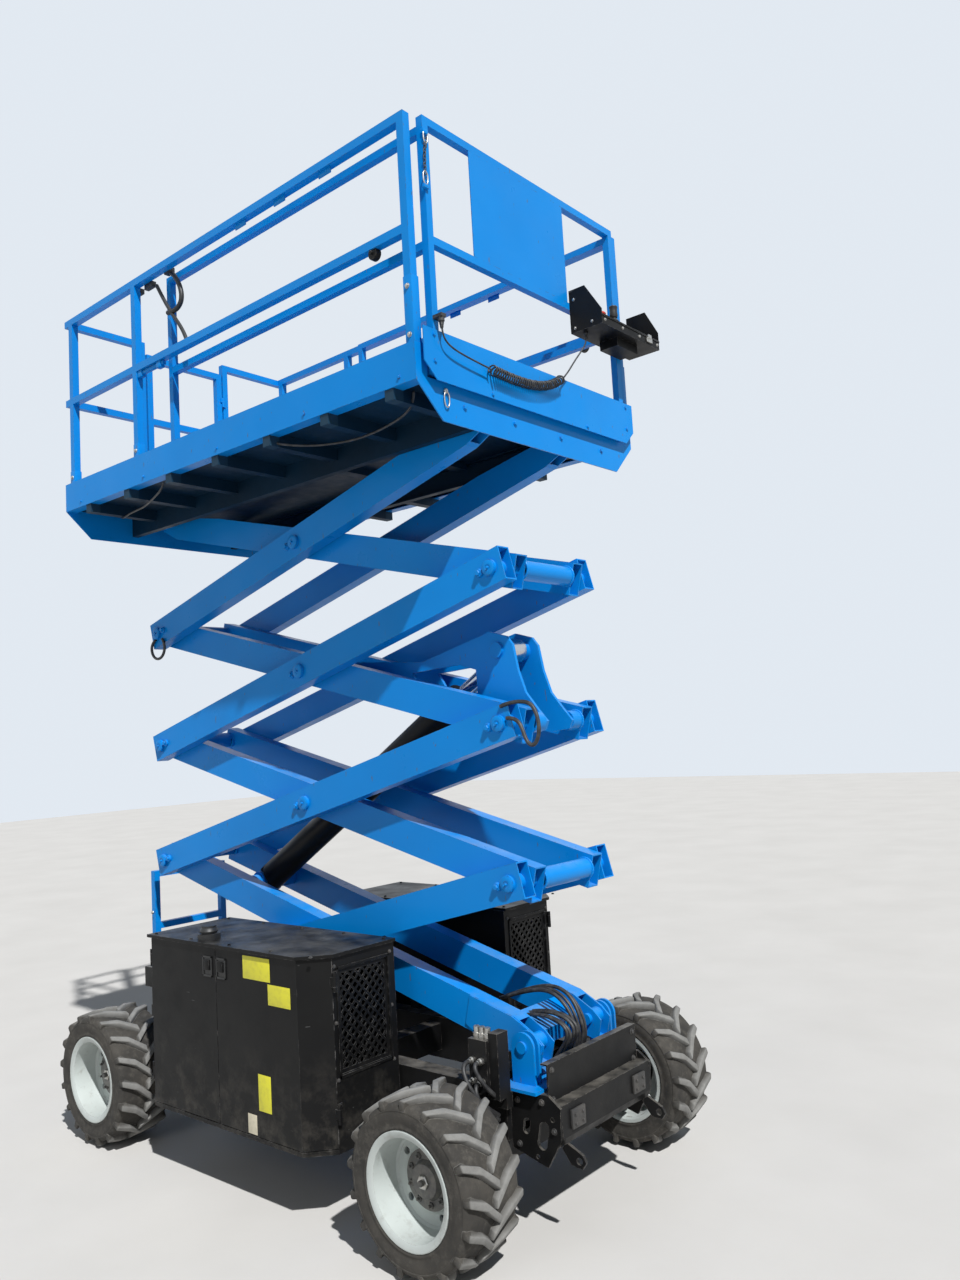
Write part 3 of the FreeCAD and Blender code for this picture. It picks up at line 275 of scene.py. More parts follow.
def moulded_plastic():
    s = Shader("moulded_plastic", (0.012, 0.012, 0.012), 0.48)
    s.mix(s.multiply(s.upward(), s.ramp(s.noise(22.0, 5), 0.40, 0.75, 0.0, 0.35)), (0.11, 0.108, 0.10))
    s.bump(s.noise(420.0, 2), 0.25, 0.0005)
    return s.material


def zinc():
    s = Shader("zinc", (0.50, 0.49, 0.46), 0.34, 1.0)
    s.mix(s.ramp(s.noise(45.0, 5), 0.45, 0.75, 0.0, 0.7), (0.24, 0.21, 0.17))
    s.rough(s.ramp(s.noise(60.0, 4), 0.3, 0.75, 0.26, 0.55))
    s.bump(s.noise(180.0, 3), 0.15, 0.0006)
    return s.material


def chrome():
    s = Shader("chrome_rod", (0.62, 0.62, 0.63), 0.16, 1.0)
    s.rough(s.ramp(s.noise(40.0, 4, 0.5, (1.0, 1.0, 0.1)), 0.3, 0.8, 0.10, 0.30))
    s.mix(s.ramp(s.noise(18.0, 5), 0.60, 0.80, 0.0, 0.4), (0.16, 0.14, 0.12))
    return s.material


def plate_yellow():
    s = Shader("plate_yellow", (0.66, 0.62, 0.030), 0.44)
    s.mix(s.ramp(s.noise(42.0, 5), 0.48, 0.78, 0.0, 0.45), (0.40, 0.36, 0.05))
    s.bump(s.noise(300.0, 2), 0.1, 0.0003)
    return s.material


def plate_cream():
    s = Shader("plate_cream", (0.58, 0.53, 0.40), 0.5)
    s.mix(s.ramp(s.noise(60.0, 5), 0.45, 0.75, 0.0, 0.5), (0.36, 0.32, 0.24))
    s.bump(s.noise(300.0, 2), 0.1, 0.0003)
    return s.material


def red_plastic():
    s = Shader("red_plastic", (0.62, 0.045, 0.015), 0.36)
    s.mix(s.ramp(s.noise(70.0, 4), 0.5, 0.8, 0.0, 0.4), (0.36, 0.05, 0.03))
    s.bump(s.noise(400.0, 2), 0.12, 0.0003)
    return s.material


def amber_lens():
    s = Shader("amber_lens", (0.80, 0.25, 0.02), 0.16)
    s.mix(s.ramp(s.noise(60.0, 4), 0.5, 0.8, 0.0, 0.4), (0.45, 0.16, 0.03))
    s.bump(s.noise(200.0, 2), 0.1, 0.0004)
    return s.material


def cast_iron():
    s = Shader("cast_iron", (0.035, 0.034, 0.033), 0.60)
    s.mix(s.ramp(s.noise(16.0, 6), 0.4, 0.7, 0.0, 0.6), (0.10, 0.09, 0.08))
    s.bump(s.noise(60.0, 5), 0.4, 0.002)
    return s.material


def hub_steel():
    """Worn dark steel of the hub faces, rusty in patches."""
    s = Shader("hub_steel", (0.085, 0.084, 0.080), 0.50)
    s.mix(s.ramp(s.noise(24.0, 6, 0.7), 0.42, 0.66, 0.0, 0.8), (0.19, 0.175, 0.155))
    s.mix(s.ramp(s.noise(11.0, 5), 0.52, 0.74, 0.0, 0.6), (0.050, 0.040, 0.032))
    s.bump(s.noise(70.0, 5), 0.4, 0.0016)
    return s.material


def deck_plate():
    """Near-black navy on the walls and undersides, painted shade standing in for the shade under the deck, a little
    paler at the flanges, and a blue floor on upward faces, worn by boots over raised bars.
    """
    # Base: the deck's blue paint darkened to near black, painted shade for the walls and underside beneath the deck
    s = Shader("deck_plate", (0.0020, 0.0210, 0.0480), 0.62)
    s.mix(s.ramp(s.noise(3.5, 5), 0.40, 0.75, 0.0, 0.6), (0.003, 0.011, 0.022))
    s.mix(s.multiply(s.beyond(0.717), s.ramp(s.noise(5.0, 5), 0.20, 0.60, 0.55, 0.95)), (0.012, 0.040, 0.070))
    # Upward faces get the blue paint colour; walls and undersides keep the dark base as painted shade
    floor = s.upward()
    s.mix(floor, (0.010, 0.20, 0.52))
    s.mix(s.multiply(floor, s.ramp(s.noise(3.0, 6), 0.42, 0.66, 0.0, 0.75)), (0.13, 0.17, 0.21))
    s.mix(s.multiply(floor, s.ramp(s.noise(20.0, 6, 0.7), 0.55, 0.70, 0.0, 0.7)), (0.17, 0.155, 0.14))
    s.rough(s.ramp(s.noise(9.0, 5), 0.3, 0.75, 0.45, 0.70))
    bars = s.node("ShaderNodeTexVoronoi", feature="SMOOTH_F1", Scale=28.0)
    mapping = s.node("ShaderNodeMapping")
    mapping.inputs["Scale"].default_value = (1.0, 2.6, 1.0)
    mapping.inputs["Rotation"].default_value = (0.0, 0.0, math.radians(45.0))
    s.link(s.coords, mapping.inputs["Vector"])
    s.link(mapping.outputs["Vector"], bars.inputs["Vector"])
    s.bump(s.multiply(floor, s.ramp(bars.outputs["Distance"], 0.22, 0.34, 1.0, 0.0)), 0.5, 0.0015)
    s.bsdf.inputs["Specular IOR Level"].default_value = 0.2
    return s.material


def floor_concrete():
    s = Shader("studio_floor", (0.60, 0.585, 0.56), 0.85)
    s.mix(s.ramp(s.noise(1.1, 6), 0.35, 0.7, 0.0, 0.4), (0.50, 0.485, 0.46))
    s.bump(s.noise(40.0, 5), 0.15, 0.003)
    return s.material


BLUE = blue_paint()
BLACK = black_paint()
CHASSIS = chassis_paint()
RIM = rim_paint()
TYRE = tyre_rubber()
HOSE = hose_rubber()
PLASTIC = moulded_plastic()
ZINC = zinc()
CHROME = chrome()
YELLOW = plate_yellow()
CREAM = plate_cream()
RED = red_plastic()
AMBER = amber_lens()
IRON = cast_iron()
HUB = hub_steel()
DECK = deck_plate()

# first letters of a node's name, its material
dress = [
    ("tyre_", TYRE), ("rim_", RIM), ("engine_block", IRON), ("engine_", BLACK), ("tank_", BLACK), ("beacon", PLASTIC),
    ("chassis_frame", CHASSIS), ("front_nose", CHASSIS), ("front_axle", CHASSIS), ("rear_axle", CHASSIS),
    ("knuckle_", CHASSIS), ("tie_rod", CHASSIS), ("valve_unit", CHASSIS), ("ladder", BLUE), ("slide_guides", CHASSIS),
    ("pivot_brackets", BLUE), ("lift_cylinder_rod", CHROME), ("lift_cylinder_barrel", BLACK), ("control_box", BLACK),
    ("cord", HOSE), ("deck_frame", DECK), ("extension_deck", BLUE), ("inner_", BLUE), ("outer_", BLUE), ("deck_", BLUE),
    ("main_", BLUE), ("rear_rails", BLUE), ("gate", BLUE), ("extension_", BLUE), ("sign_", BLUE),
]
for node_name, node_object in nodes.items():
    chosen = next(material for start, material in dress if node_name.startswith(start))
    for slot in node_object.material_slots:
        slot.material = chosen


# Mesh helpers
def finish_piece(name, mesh, material, body):
    piece = bpy.data.objects.new(name, mesh)
    bpy.context.scene.collection.objects.link(piece)
    if material.name not in mesh.materials:
        mesh.materials.append(material)
    if body:
        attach(piece, body)
    return piece


def from_bmesh(name, bm, material, body, smooth_below=40.0):
    mesh = bpy.data.meshes.new(name)
    bm.to_mesh(mesh)
    bm.free()
    mesh.shade_smooth()
    mesh.set_sharp_from_angle(angle=math.radians(smooth_below))
    return finish_piece(name, mesh, material, body)


def turn_to(direction):
    return Vector((0, 0, 1)).rotation_difference(Vector(direction).normalized()).to_matrix().to_4x4()


def add_disc(bm, centre, direction, profile, segments):
    """Turned form about direction; profile lists (radius, height) from the base to the top."""
    place = Matrix.Translation(Vector(centre)) @ turn_to(direction)
    rings = []
    for radius, height in profile:
        ring = []
        for i in range(segments):
            a = 2.0 * math.pi * i / segments
            ring.append(bm.verts.new(place @ Vector((radius * math.cos(a), radius * math.sin(a), height))))
        rings.append(ring)
    for low, high in zip(rings, rings[1:]):
        for i in range(segments):
            j = (i + 1) % segments
            bm.faces.new((low[i], low[j], high[j], high[i]))
    bm.faces.new(tuple(reversed(rings[0])))
    bm.faces.new(tuple(rings[-1]))


def add_bolt(bm, centre, direction, size):
    """Hexagon head with a washer and a chamfer; size is the width across the corners over two."""
    add_disc(bm, centre, direction, [(size * 1.35, 0.0), (size * 1.35, size * 0.22), (size * 1.28, size * 0.27)], 16)
    add_disc(bm, centre, direction, [(size, size * 0.2), (size, size * 0.80), (size * 0.86, size * 0.98)], 6)


def add_block(bm, low, high, bevel):
    made = bmesh.ops.create_cube(bm, size=1.0)["verts"]
    low, high = Vector(low), Vector(high)
    for v in made:
        v.co = (low + high) / 2.0 + Vector((v.co.x * (high.x - low.x), v.co.y * (high.y - low.y),
                                            v.co.z * (high.z - low.z)))
    edges = list({e for v in made for e in v.link_edges})
    bmesh.ops.bevel(bm, geom=edges, offset=bevel, segments=2, profile=0.6, affect="EDGES")


def smooth_curve(name, points, radius, material, body, resolution=10):
    """Round hose or wire along a NURBS spline through the given control points."""
    data = bpy.data.curves.new(name, "CURVE")
    data.dimensions = "3D"
    data.bevel_depth = radius
    data.bevel_resolution = 3
    data.resolution_u = resolution
    data.use_fill_caps = True
    spline = data.splines.new("NURBS")
    spline.points.add(len(points) - 1)
    for point, place in zip(spline.points, points):
        point.co = (*place, 1.0)
    spline.order_u = 4
    spline.use_endpoint_u = True
    piece = bpy.data.objects.new(name, data)
    bpy.context.scene.collection.objects.link(piece)
    data.materials.append(material)
    if body:
        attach(piece, body)
    return piece


# Node trees
class Tree:
    """A Geometry Nodes tree with named inputs; its result is kept as a plain mesh."""

    def __init__(self, name, inputs):
        self.tree = bpy.data.node_groups.new(name, "GeometryNodeTree")
        self.sockets = {}
        self.tree.interface.new_socket("Geometry", in_out="INPUT", socket_type="NodeSocketGeometry")
        for label, kind, value in inputs + [("Finish", "NodeSocketMaterial", None)]:
            socket = self.tree.interface.new_socket(label, in_out="INPUT", socket_type=kind)
            if value is not None:
                socket.default_value = value
            self.sockets[label] = socket.identifier
        self.tree.interface.new_socket("Geometry", in_out="OUTPUT", socket_type="NodeSocketGeometry")
        self.source = self.tree.nodes.new("NodeGroupInput").outputs

    def node(self, kind, **values):
        made = self.tree.nodes.new(kind)
        for key, value in values.items():
            setattr(made, key, value)
        return made

    def link(self, out, into):
        self.tree.links.new(out, into)

    def math(self, operation, first, second):
        made = self.node("ShaderNodeMath", operation=operation)
        for i, value in enumerate((first, second)):
            if isinstance(value, (int, float)):
                made.inputs[i].default_value = value
            else:
                self.link(value, made.inputs[i])
        return made.outputs["Value"]

    def vector(self, x=0.0, y=0.0, z=0.0):
        made = self.node("ShaderNodeCombineXYZ")
        for i, value in enumerate((x, y, z)):
            if isinstance(value, (int, float)):
                made.inputs[i].default_value = value
            else:
                self.link(value, made.inputs[i])
        return made.outputs["Vector"]

    def turned(self, angles):
        made = self.node("FunctionNodeEulerToRotation")
        self.link(angles, made.inputs["Euler"])
        return made.outputs["Rotation"]

    def close(self, geometry):
        realize = self.node("GeometryNodeRealizeInstances")
        finish = self.node("GeometryNodeSetMaterial")
        self.link(geometry, realize.inputs["Geometry"])
        self.link(realize.outputs["Geometry"], finish.inputs["Geometry"])
        self.link(self.source["Finish"], finish.inputs["Material"])
        self.link(finish.outputs["Geometry"], self.node("NodeGroupOutput").inputs["Geometry"])
        return self


def run_tree(name, base, tree, finish, values):
    """The tree's result on the base mesh, as a plain mesh."""
    carrier = bpy.data.objects.new(name + "_source", base)
    bpy.context.scene.collection.objects.link(carrier)
    modifier = carrier.modifiers.new("tree", "NODES")
    modifier.node_group = tree.tree
    modifier[tree.sockets["Finish"]] = finish
    for label, value in values.items():
        modifier[tree.sockets[label]] = value
    bpy.context.view_layer.update()
    made = bpy.data.meshes.new_from_object(carrier.evaluated_get(bpy.context.evaluated_depsgraph_get()))
    carrier.modifiers.remove(modifier)
    bpy.data.objects.remove(carrier)
    return made


def wheel_ring_tree():
    """Copies of the source mesh, spun about the wheel's axle in equal steps."""
    tree = Tree("wheel_ring", [("Count", "NodeSocketInt", TYRE_LUGS), ("Step", "NodeSocketFloat", 0.37),
                               ("Hub", "NodeSocketVector", (0.0, 0.0, 0.0))])
    line = tree.node("GeometryNodeMeshLine")
    line.inputs["Offset"].default_value = (0.0, 0.0, 0.0)
    tree.link(tree.source["Count"], line.inputs["Count"])
    turn = tree.math("MULTIPLY", tree.node("GeometryNodeInputIndex").outputs["Index"], tree.source["Step"])
    copies = tree.node("GeometryNodeInstanceOnPoints")
    tree.link(line.outputs["Mesh"], copies.inputs["Points"])
    tree.link(tree.source["Geometry"], copies.inputs["Instance"])
    tree.link(tree.turned(tree.vector(y=turn)), copies.inputs["Rotation"])
    move = tree.node("GeometryNodeTransform")
    tree.link(copies.outputs["Instances"], move.inputs["Geometry"])
    tree.link(tree.source["Hub"], move.inputs["Translation"])
    return tree.close(move.outputs["Geometry"])


def bolt_tree():
    """A washer and a hexagon head at every point of the source mesh, turned to its direction."""
    tree = Tree("hexagon_bolts", [("Head radius", "NodeSocketFloat", 0.01)])
    size = tree.source["Head radius"]
    parts = tree.node("GeometryNodeJoinGeometry")
    # sides, radius below, radius on top, foot, height, in head radii
    for sides, low, high, foot, tall in ((16, 1.4, 1.3, -0.06, 0.28), (6, 1.0, 1.0, 0.10, 0.66), (6, 1.0, 0.84, 0.74, 0.16)):
        cone = tree.node("GeometryNodeMeshCone")
        cone.inputs["Vertices"].default_value = sides
        tree.link(tree.math("MULTIPLY", size, low), cone.inputs["Radius Bottom"])
        tree.link(tree.math("MULTIPLY", size, high), cone.inputs["Radius Top"])
        tree.link(tree.math("MULTIPLY", size, tall), cone.inputs["Depth"])
        lift = tree.node("GeometryNodeTransform")
        tree.link(cone.outputs["Mesh"], lift.inputs["Geometry"])
        tree.link(tree.vector(z=tree.math("MULTIPLY", size, foot)), lift.inputs["Translation"])
        tree.link(lift.outputs["Geometry"], parts.inputs["Geometry"])
    facing = tree.node("GeometryNodeInputNamedAttribute", data_type="FLOAT_VECTOR")
    facing.inputs["Name"].default_value = "facing"
    align = tree.node("FunctionNodeAlignRotationToVector", axis="Z")
    tree.link(facing.outputs["Attribute"], align.inputs["Vector"])
    copies = tree.node("GeometryNodeInstanceOnPoints")
    tree.link(tree.source["Geometry"], copies.inputs["Points"])
    tree.link(parts.outputs["Geometry"], copies.inputs["Instance"])
    tree.link(align.outputs["Rotation"], copies.inputs["Rotation"])
    return tree.close(copies.outputs["Instances"])


def chain_tree():
    """Oval wire links along the source line, each turned a quarter against the last."""
    tree = Tree("chain_links", [("Pitch", "NodeSocketFloat", 0.016), ("Wire", "NodeSocketFloat", 0.002)])
    line = tree.node("GeometryNodeMeshToCurve")
    tree.link(tree.source["Geometry"], line.inputs["Mesh"])
    even = tree.node("GeometryNodeResampleCurve", mode="LENGTH")
    tree.link(line.outputs["Curve"], even.inputs["Curve"])
    tree.link(tree.source["Pitch"], even.inputs["Length"])
    ring = tree.node("GeometryNodeCurvePrimitiveCircle")
    ring.inputs["Resolution"].default_value = 14
    tree.link(tree.math("MULTIPLY", tree.source["Pitch"], 0.42), ring.inputs["Radius"])
    oval = tree.node("GeometryNodeTransform")
    oval.inputs["Scale"].default_value = (0.95, 1.55, 1.0)
    oval.inputs["Rotation"].default_value = (math.pi / 2.0, 0.0, 0.0)
    tree.link(ring.outputs["Curve"], oval.inputs["Geometry"])
    wire = tree.node("GeometryNodeCurvePrimitiveCircle")
    wire.inputs["Resolution"].default_value = 7
    tree.link(tree.source["Wire"], wire.inputs["Radius"])
    link_mesh = tree.node("GeometryNodeCurveToMesh")
    tree.link(oval.outputs["Geometry"], link_mesh.inputs["Curve"])
    tree.link(wire.outputs["Curve"], link_mesh.inputs["Profile Curve"])
    along = tree.node("FunctionNodeAlignRotationToVector", axis="Z")
    tree.link(tree.node("GeometryNodeInputTangent").outputs["Tangent"], along.inputs["Vector"])
    quarter = tree.math("MULTIPLY", tree.node("GeometryNodeInputIndex").outputs["Index"], math.pi / 2.0)
    roll = tree.node("FunctionNodeRotateRotation", rotation_space="LOCAL")
    tree.link(along.outputs["Rotation"], roll.inputs["Rotation"])
    tree.link(tree.turned(tree.vector(z=quarter)), roll.inputs["Rotate By"])
    copies = tree.node("GeometryNodeInstanceOnPoints")
    tree.link(even.outputs["Curve"], copies.inputs["Points"])
    tree.link(link_mesh.outputs["Mesh"], copies.inputs["Instance"])
    tree.link(roll.outputs["Rotation"], copies.inputs["Rotation"])
    return tree.close(copies.outputs["Instances"])


WHEEL_RING = wheel_ring_tree()
BOLTS = bolt_tree()
LINKS = chain_tree()


def bolts(name, places, size, material, body):
    """Hexagon bolts in one piece; places lists (x, y, z) and the direction that each head faces."""
    base = bpy.data.meshes.new(name + "_points")
    base.from_pydata([place for place, facing in places], [], [])
    attribute = base.attributes.new("facing", "FLOAT_VECTOR", "POINT")
    attribute.data.foreach_set("vector", [c for place, facing in places for c in facing])
    mesh = run_tree(name, base, BOLTS, material, {"Head radius": size})
    return finish_piece(name, mesh, material, body)


def blocks(name, boxes, bevel, material, body):
    """Bevelled blocks in one piece; boxes lists two opposite corners."""
    bm = bmesh.new()
    for first, second in boxes:
        low = [min(a, b) for a, b in zip(first, second)]
        high = [max(a, b) for a, b in zip(first, second)]
        add_block(bm, low, high, bevel)
    return from_bmesh(name, bm, material, body)


def discs(name, forms, segments, material, body):
    """Turned forms in one piece; forms lists centre, direction and (radius, height) pairs."""
    bm = bmesh.new()
    for centre, direction, profile in forms:
        add_disc(bm, centre, direction, profile, segments)
    return from_bmesh(name, bm, material, body)


def line_mesh(name, points):
    """Mesh line of the smooth NURBS curve with these control points."""
    data = bpy.data.curves.new(name, "CURVE")
    data.dimensions = "3D"
    data.resolution_u = 24
    spline = data.splines.new("NURBS")
    spline.points.add(len(points) - 1)
    for point, place in zip(spline.points, points):
        point.co = (*place, 1.0)
    spline.order_u = 3
    spline.use_endpoint_u = True
    guide = bpy.data.objects.new(name, data)
    mesh = bpy.data.meshes.new_from_object(guide)
    bpy.data.objects.remove(guide)
    return mesh


# Control cord
CORD_ROUTE = [(1.393, -0.680, 3.630), (1.393, -0.680, 3.588), (1.393, -0.662, 3.553), (1.393, -0.618, 3.533),
              (1.393, -0.545, 3.521), (1.393, -0.450, 3.511), (1.393, -0.340, 3.502), (1.393, -0.225, 3.496),
              (1.393, -0.105, 3.501), (1.393, 0.010, 3.524), (1.393, 0.105, 3.570), (1.393, 0.178, 3.630),
              (1.396, 0.234, 3.697), (1.410, 0.276, 3.752), (1.427, 0.298, 3.794), (1.427, 0.298, 3.834)]
CORD_LEAD_POINTS = 6
CORD_TAIL_FROM = 11
COIL_START_Y = -0.395
COIL_END_Y = 0.128
COIL_RADIUS = 0.0185
COIL_PITCH = 0.0150
LOOSE_PITCH = 0.0245
LOOSE_TURNS = 3.0
TURN_POINTS = 14
CORD_DIAMETER = 0.0075


def helix_points():
    """Points of the curly stretch, wound round the cord's own route; its first turns hang loose."""
    line = [v.co.copy() for v in line_mesh("cord_route", CORD_ROUTE).vertices]
    start = min(range(len(line)), key=lambda i: abs(line[i].y - COIL_START_Y))
    end = min(range(len(line)), key=lambda i: abs(line[i].y - COIL_END_Y))
    lengths = [0.0]
    for i in range(start, end):
        lengths.append(lengths[-1] + (line[i + 1] - line[i]).length)
    total, travelled, turns, points, i = lengths[-1], 0.0, 0.0, [], 0
    while travelled < total:
        while i < len(lengths) - 2 and lengths[i + 1] < travelled:
            i += 1
        share = (travelled - lengths[i]) / (lengths[i + 1] - lengths[i])
        along = (line[start + i + 1] - line[start + i]).normalized()
        centre = line[start + i].lerp(line[start + i + 1], share)
        across = Vector((1.0, 0.0, 0.0))
        above = along.cross(across).normalized()
        ease = min(1.0, turns / 0.8, (total - travelled) / (0.8 * COIL_PITCH))
        loose = max(0.0, 1.0 - turns / LOOSE_TURNS)
        radius = (COIL_RADIUS + 0.0035 * loose + 0.0007 * math.sin(turns * 2.3)) * ease ** 0.6
        a = 2.0 * math.pi * turns
        sag = Vector((0.0, 0.0, -0.004 * loose))
        points.append(centre + across * (radius * math.cos(a)) + above * (radius * math.sin(a)) + sag * ease)
        turns += 1.0 / TURN_POINTS
        travelled += (COIL_PITCH + (LOOSE_PITCH - COIL_PITCH) * loose) / TURN_POINTS
    return points


def control_cord():
    points = [Vector(p) for p in CORD_ROUTE[:CORD_LEAD_POINTS]] + helix_points()
    points += [Vector(p) for p in CORD_ROUTE[CORD_TAIL_FROM:]]
    data = bpy.data.curves.new("control_cord", "CURVE")
    data.dimensions = "3D"
    data.bevel_depth = CORD_DIAMETER / 2.0
    data.bevel_resolution = 2
    data.resolution_u = 3
    data.use_fill_caps = True
    spline = data.splines.new("NURBS")
    spline.points.add(len(points) - 1)
    for point, place in zip(spline.points, points):
        point.co = (*place, 1.0)
    spline.order_u = 3
    spline.use_endpoint_u = True
    cord = bpy.data.objects.new("control_cord", data)
    bpy.context.scene.collection.objects.link(cord)
    data.materials.append(HOSE)
    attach(cord, "extension")
    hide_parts("cord_lead", "cord_coil", "cord_tail")


def cord_reliefs():
    """Tapered, ribbed strain reliefs where the cord leaves its gland and enters the box."""
    ribs = [(0.0115, 0.0), (0.0105, 0.006), (0.0088, 0.007), (0.0098, 0.011), (0.0080, 0.012), (0.0088, 0.016),
            (0.0070, 0.017), (0.0078, 0.022), (0.0058, 0.030)]
    discs("cord_reliefs", [((1.393, -0.680, 3.631), (0, 0, -1), ribs), ((1.427, 0.298, 3.836), (0, 0, -1), ribs)],
          20, PLASTIC, "extension")


# Wheels
LUG_STATIONS = [(0.150, 0.284, 0.014, 0.284, 0.017, 0.0), (0.147, 0.322, 0.014, 0.300, 0.018, 0.0),
                (0.066, 0.3315, 0.015, 0.297, 0.021, 0.036), (-0.012, 0.333, 0.016, 0.296, 0.022, 0.108)]
TYRE_PROFILE = [(0.134, 0.1903), (0.1365, 0.2005), (0.1384, 0.212), (0.144, 0.215), (0.1475, 0.2195), (0.1478, 0.224),
                (0.1455, 0.2275), (0.1462, 0.238), (0.149, 0.250), (0.150, 0.262), (0.1494, 0.272), (0.1478, 0.2795),
                (0.149, 0.281), (0.1486, 0.2845), (0.1455, 0.290), (0.1395, 0.2985), (0.130, 0.3035), (0.100, 0.3055),
                (0.0, 0.306)]
RIM_PROFILE = [(0.0, 0.038), (0.0, 0.170), (-0.006, 0.182), (-0.120, 0.182), (-0.134, 0.190), (-0.139, 0.198),
               (-0.139, 0.212), (-0.146, 0.212), (-0.146, 0.198), (-0.140, 0.1895), (-0.118, 0.1895), (-0.112, 0.1855),
               (0.112, 0.1855), (0.118, 0.1895), (0.139, 0.1895), (0.139, 0.212), (0.146, 0.2125), (0.1475, 0.209),
               (0.146, 0.196), (0.138, 0.184), (0.118, 0.181), (0.060, 0.178), (0.026, 0.174), (0.016, 0.166),
               (0.014, 0.156), (0.014, 0.128), (0.018, 0.120), (0.024, 0.115), (0.024, 0.066), (0.028, 0.063),
               (0.042, 0.060), (0.046, 0.056), (0.046, 0.030), (0.030, 0.028), (0.030, 0.0385)]
VENT_CIRCLE = 0.142
NUT_CIRCLE = 0.090
NUTS = 9


def wheel_point(across, radius, turn):
    return Vector((radius * math.sin(turn), across, radius * math.cos(turn)))


def tyre_lug(bm, side, turn):
    rings = []
    for across, high, high_half, low, low_half, lag in LUG_STATIONS:
        foot = across - 0.024 if across > 0.1 else across
        middle = turn + lag / WHEEL_Z
        corners = [(across, high, -high_half / high), (across, high, high_half / high), (foot, low, low_half / low),
                   (foot, low, -low_half / low)]
        rings.append([bm.verts.new(wheel_point(side * a, r, middle + w)) for a, r, w in corners])
    faces = [bm.faces.new(rings[0]), bm.faces.new(tuple(reversed(rings[-1])))]
    for one, two in zip(rings, rings[1:]):
        for i in range(4):
            j = (i + 1) % 4
            faces.append(bm.faces.new((one[j], one[i], two[i], two[j])))
    bmesh.ops.recalc_face_normals(bm, faces=faces)
    edges = list({e for ring in rings for v in ring[:2] for e in v.link_edges})
    bmesh.ops.bevel(bm, geom=edges, offset=0.0045, segments=2, profile=0.5, affect="EDGES")


def revolved(bm, hub, side, profile, segments, closed):
    """Ring about the axle through hub; profile lists (distance outward, radius)."""
    rings = []
    for across, radius in profile:
        rings.append([bm.verts.new(hub + wheel_point(side * across, radius, 2.0 * math.pi * i / segments))
                      for i in range(segments)])
    pairs = list(zip(rings, rings[1:])) + ([(rings[-1], rings[0])] if closed else [])
    faces = []
    for low, high in pairs:
        for i in range(segments):
            j = (i + 1) % segments
            faces.append(bm.faces.new((low[i], low[j], high[j], high[i])))
    bmesh.ops.recalc_face_normals(bm, faces=faces)


def lugged_tyre(name, hub):
    pitch = 2.0 * math.pi / TYRE_LUGS
    start = math.pi - LUG_STATIONS[-1][5] / WHEEL_Z - LUG_STATIONS[-1][2] / LUG_STATIONS[-1][1]
    bm = bmesh.new()
    tyre_lug(bm, 1, start)
    tyre_lug(bm, -1, start + pitch / 2.0)
    lugs = bpy.data.meshes.new("lug_pair")
    bm.to_mesh(lugs)
    bm.free()
    rows = run_tree("lugs_" + name, lugs, WHEEL_RING, TYRE, {"Count": TYRE_LUGS, "Step": pitch, "Hub": tuple(hub)})
    bm = bmesh.new()
    bm.from_mesh(rows)
    revolved(bm, hub, 1, TYRE_PROFILE + [(-a, r) for a, r in TYRE_PROFILE[-2::-1]], 96, True)
    tyre = from_bmesh("tyre_lugged_" + name, bm, TYRE, "wheel_" + name, 50.0)
    wear = tyre.data.attributes.new("tread_wear", "FLOAT", "POINT")
    for vertex, value in zip(tyre.data.vertices, wear.data):
        radius = math.hypot(vertex.co.x - hub.x, vertex.co.z - hub.z)
        value.value = min(1.0, max(0.0, (radius - 0.316) / 0.007))
    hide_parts("tyre_" + name)


def dished_rim(name, hub, side):
    bm = bmesh.new()
    revolved(bm, hub, side, RIM_PROFILE, 72, True)
    rim = bpy.data.meshes.new("rim_body")
    bm.to_mesh(rim)
    bm.free()
    body = bpy.data.objects.new("rim_body", rim)
    bpy.context.scene.collection.objects.link(body)
    bm = bmesh.new()
    for i in range(5):
        place = hub + wheel_point(side * -0.02, VENT_CIRCLE, 2.0 * math.pi * (i + 0.2) / 5)
        add_disc(bm, place, (0, side, 0), [(0.015, 0.0), (0.015, 0.06)], 20)
    drill = bpy.data.meshes.new("rim_drill")
    bm.to_mesh(drill)
    bm.free()
    drill_object = bpy.data.objects.new("rim_drill", drill)
    bpy.context.scene.collection.objects.link(drill_object)
    cut = body.modifiers.new("vents", "BOOLEAN")
    cut.object = drill_object
    cut.solver = "EXACT"
    bpy.context.view_layer.update()
    mesh = bpy.data.meshes.new_from_object(body.evaluated_get(bpy.context.evaluated_depsgraph_get()))
    bpy.data.objects.remove(body)
    bpy.data.objects.remove(drill_object)
    mesh.shade_smooth()
    mesh.set_sharp_from_angle(angle=math.radians(28.0))
    piece = finish_piece("rim_dished_" + name, mesh, RIM, "wheel_" + name)
    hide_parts("rim_" + name)


